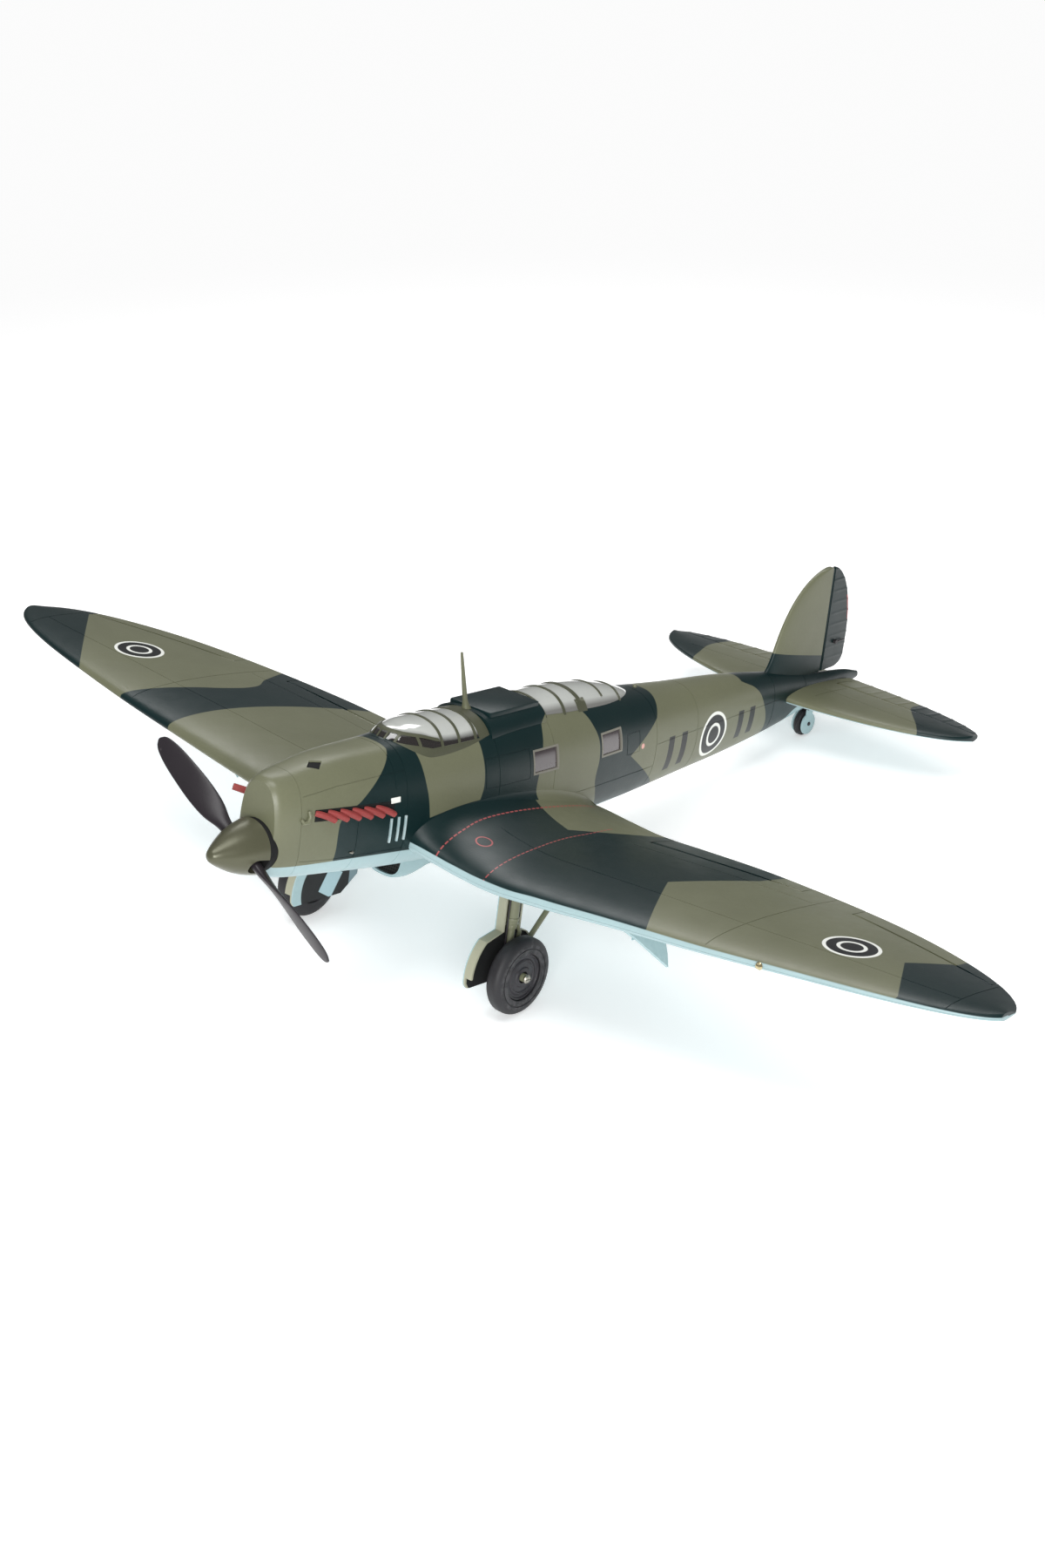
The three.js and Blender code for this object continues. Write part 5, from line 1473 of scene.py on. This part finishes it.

# painted shade: a near-black sheet lines the inside of each leg cover
shade_lining = cut(plate(door_outline(DOOR_WALL - 0.02), DOOR_OUTER, DOOR_LIP - 0.12),
             plate(door_outline(DOOR_WALL + 0.12), DOOR_OUTER + 0.12, DOOR_LIP + 1),
             slab((DOOR_OUTER + 0.12, 36, -24), (DOOR_LIP + 1, 54, -21.4)),
             slab((DOOR_REAR_LIP - 0.1, WHEEL.y, -24), (DOOR_LIP + 1, 54, -6)))
both_sides("leg_cover_shade_lining", shade_lining, painted_shade_paint, slot="interior_paint")

flap_outline = [(44.0, 1.5), (44.0, 0), (46.1, -1.9), (51.0, -7.2), (51.7, -5.2), (52.6, 0), (52.6, 1.5)]
bay_cover = plate(flap_outline, -0.25, 0.25)
join(bay_cover, *[slab((-0.4, 45.4, z), (-0.2, 51.8, z + 0.3)) for z in (-0.4, -1.7)])
bay_cover.data.transform(Matrix.Translation((42.8, 0, -6.4)) @ Matrix.Rotation(math.radians(-30), 4, "Y"))
both_sides("bay_cover", softened(bay_cover, 0.06, 1), sky_paint, node="wheel_door", slot="sky_blue_paint")
strut = join(rod((20.45, 47.9, -19.5), (20.45, 59.5, -7.3), 0.44),
             rod((20.0, 48.2, -19.2), (20.9, 48.2, -19.2), 0.6))
both_sides("drag_brace", strut, olive_paint, node="drag_strut", slot="olive_paint")

tail_ring = revolve(tyre(TAIL_WHEEL_RADIUS, TAIL_WHEEL_WIDTH, 1.45, 0.5), TAIL_WHEEL, across, 96)
tail_disc = revolve([[0.5, -0.5], [1.5, -0.5], [1.5, 0.5], [1.25, 0.42], [1.0, 0.52], [0.5, 0.56]],
                    TAIL_WHEEL, across, 64)
piece("tail_tyre", tail_ring, tyre_paint, "tail_wheel_body", ("tail_wheel",), "tyre_paint")
piece("tail_wheel_disc", tail_disc, sky_paint, "tail_wheel_body", slot="sky_blue_paint")


def tail_fork():
    """The black crown and axle, and the pale round-ended plate on each side of the wheel."""
    y, z = TAIL_WHEEL.y, TAIL_WHEEL.z
    side = TAIL_WHEEL_WIDTH / 2 + GAP
    crown_top = z + TAIL_WHEEL_RADIUS + 0.65
    stem = rod((0, y, crown_top - 0.2), (0, y, 1.2), 0.55)
    crown = softened(slab((-side - 0.4, y - 0.9, crown_top - 0.4), (side + 0.4, y + 0.9, crown_top)), 0.12)
    axle = rod((-side - 0.6, y, z), (side + 0.6, y, z), 0.35)
    arm = join(rod((side, y, z), (side + 0.36, y, z), 2.0, sides=64),
               softened(slab((side, y - 0.9, z), (side + 0.36, y + 0.9, crown_top - 0.1)), 0.1))
    return join(stem, crown, axle), arm


crown, arm = tail_fork()
piece("tail_fork", crown, blade_paint, stands_for=("tail_wheel_fork",), slot="blade_paint")
both_sides("tail_fork_arm", arm, sky_paint, slot="sky_blue_paint")

for name, finish in (("wing_spar", interior_paint), ("prop_shaft", steel), ("shaft_retainer", steel)):
    node = frame["nodes"][name]
    node.data.materials.clear()
    node.data.materials.append(finish)

for leftover in list(workshop.objects):
    bpy.data.objects.remove(leftover)
bpy.data.collections.remove(workshop)


# ---------------------------------------------------------------- floor, light and camera

def stage_material():
    """Pale and matt, fading into the backdrop away from the model."""
    material = bpy.data.materials.new("studio_floor")
    material.use_nodes = True
    tree = material.node_tree
    bsdf = tree.nodes["Principled BSDF"]
    bsdf.inputs["Base Color"].default_value = linear(250, 250, 250)
    bsdf.inputs["Roughness"].default_value = 0.9
    bsdf.inputs["Emission Color"].default_value = (1, 1, 1, 1)
    bsdf.inputs["Emission Strength"].default_value = 0.3
    place = tree.nodes.new("ShaderNodeTexCoord")
    away = tree.nodes.new("ShaderNodeVectorMath")
    away.operation = "LENGTH"
    fade = tree.nodes.new("ShaderNodeMapRange")
    fade.interpolation_type = "SMOOTHSTEP"
    fade.inputs["From Min"].default_value = 0.12
    fade.inputs["From Max"].default_value = 0.34
    clear = tree.nodes.new("ShaderNodeBsdfTransparent")
    blend = tree.nodes.new("ShaderNodeMixShader")
    tree.links.new(place.outputs["Object"], away.inputs[0])
    tree.links.new(away.outputs["Value"], fade.inputs["Value"])
    tree.links.new(fade.outputs[0], blend.inputs[0])
    tree.links.new(bsdf.outputs[0], blend.inputs[1])
    tree.links.new(clear.outputs[0], blend.inputs[2])
    tree.links.new(blend.outputs[0], tree.nodes["Material Output"].inputs[0])
    return material


ground = bpy.data.meshes.new("studio_floor")
reach = 0.5
ground.from_pydata([(-reach, -reach, 0), (reach, -reach, 0), (reach, reach, 0), (-reach, reach, 0)], [], [(0, 1, 2, 3)])
ground.materials.append(stage_material())
studio_floor = bpy.data.objects.new("studio_floor", ground)
bpy.context.scene.collection.objects.link(studio_floor)


def softbox(name, place, target, size, power, colour=(1, 1, 1)):
    light = bpy.data.lights.new(name, "AREA")
    light.shape = "RECTANGLE"
    light.size, light.size_y = size
    light.energy = power
    light.color = colour
    made = bpy.data.objects.new(name, light)
    bpy.context.scene.collection.objects.link(made)
    made.location = place
    made.rotation_euler = (Vector(target) - Vector(place)).to_track_quat("-Z", "Y").to_euler()
    return made


softbox("rear_softbox", (-0.42, 0.48, 0.62), (0, 0, 0.02), (0.6, 0.22), 2.2)
softbox("top_softbox", (0.05, -0.2, 0.72), (0, -0.03, 0.03), (0.5, 0.35), 3.0)
softbox("front_softbox", (0.42, -0.5, 0.22), (0, -0.05, 0.03), (0.35, 0.3), 3.4)

world = bpy.data.worlds.new("studio")
world.use_nodes = True
surroundings = world.node_tree
fill = surroundings.nodes["Background"]
fill.inputs["Color"].default_value = (1.0, 1.0, 1.0, 1)
backdrop = surroundings.nodes.new("ShaderNodeBackground")
backdrop.inputs["Color"].default_value = (0.97, 0.97, 0.97, 1)
seen = surroundings.nodes.new("ShaderNodeLightPath")
choice = surroundings.nodes.new("ShaderNodeMixShader")
strength = surroundings.nodes.new("ShaderNodeMapRange")
strength.inputs["To Min"].default_value = 0.4
strength.inputs["To Max"].default_value = 0.14
surroundings.links.new(seen.outputs["Is Glossy Ray"], strength.inputs["Value"])
surroundings.links.new(strength.outputs[0], fill.inputs["Strength"])
surroundings.links.new(seen.outputs["Is Camera Ray"], choice.inputs[0])
surroundings.links.new(fill.outputs[0], choice.inputs[1])
surroundings.links.new(backdrop.outputs[0], choice.inputs[2])
surroundings.links.new(choice.outputs[0], surroundings.nodes["World Output"].inputs[0])
bpy.context.scene.world = world
bpy.context.scene.view_settings.view_transform = "Standard"

AIM = Vector((0.0424, -0.0594, 0.0544))
AZIMUTH, ELEVATION, ROLL, DISTANCE, LENS = 42.004, 28.111, -0.688, 0.4, 67.2

camera_data = bpy.data.cameras.new("camera")
camera_data.lens = LENS
camera_data.sensor_width = 36.0
camera_data.clip_start = 0.01
camera = bpy.data.objects.new("camera", camera_data)
bpy.context.scene.collection.objects.link(camera)
level = Matrix.Rotation(math.radians(AZIMUTH), 4, "Z") @ Matrix.Rotation(math.radians(90 - ELEVATION), 4, "X")
tilted = level @ Matrix.Rotation(math.radians(ROLL), 4, "Z")
camera.matrix_world = Matrix.Translation(AIM) @ tilted @ Matrix.Translation((0, 0, DISTANCE))
bpy.context.scene.camera = camera

bpy.context.view_layer.update()
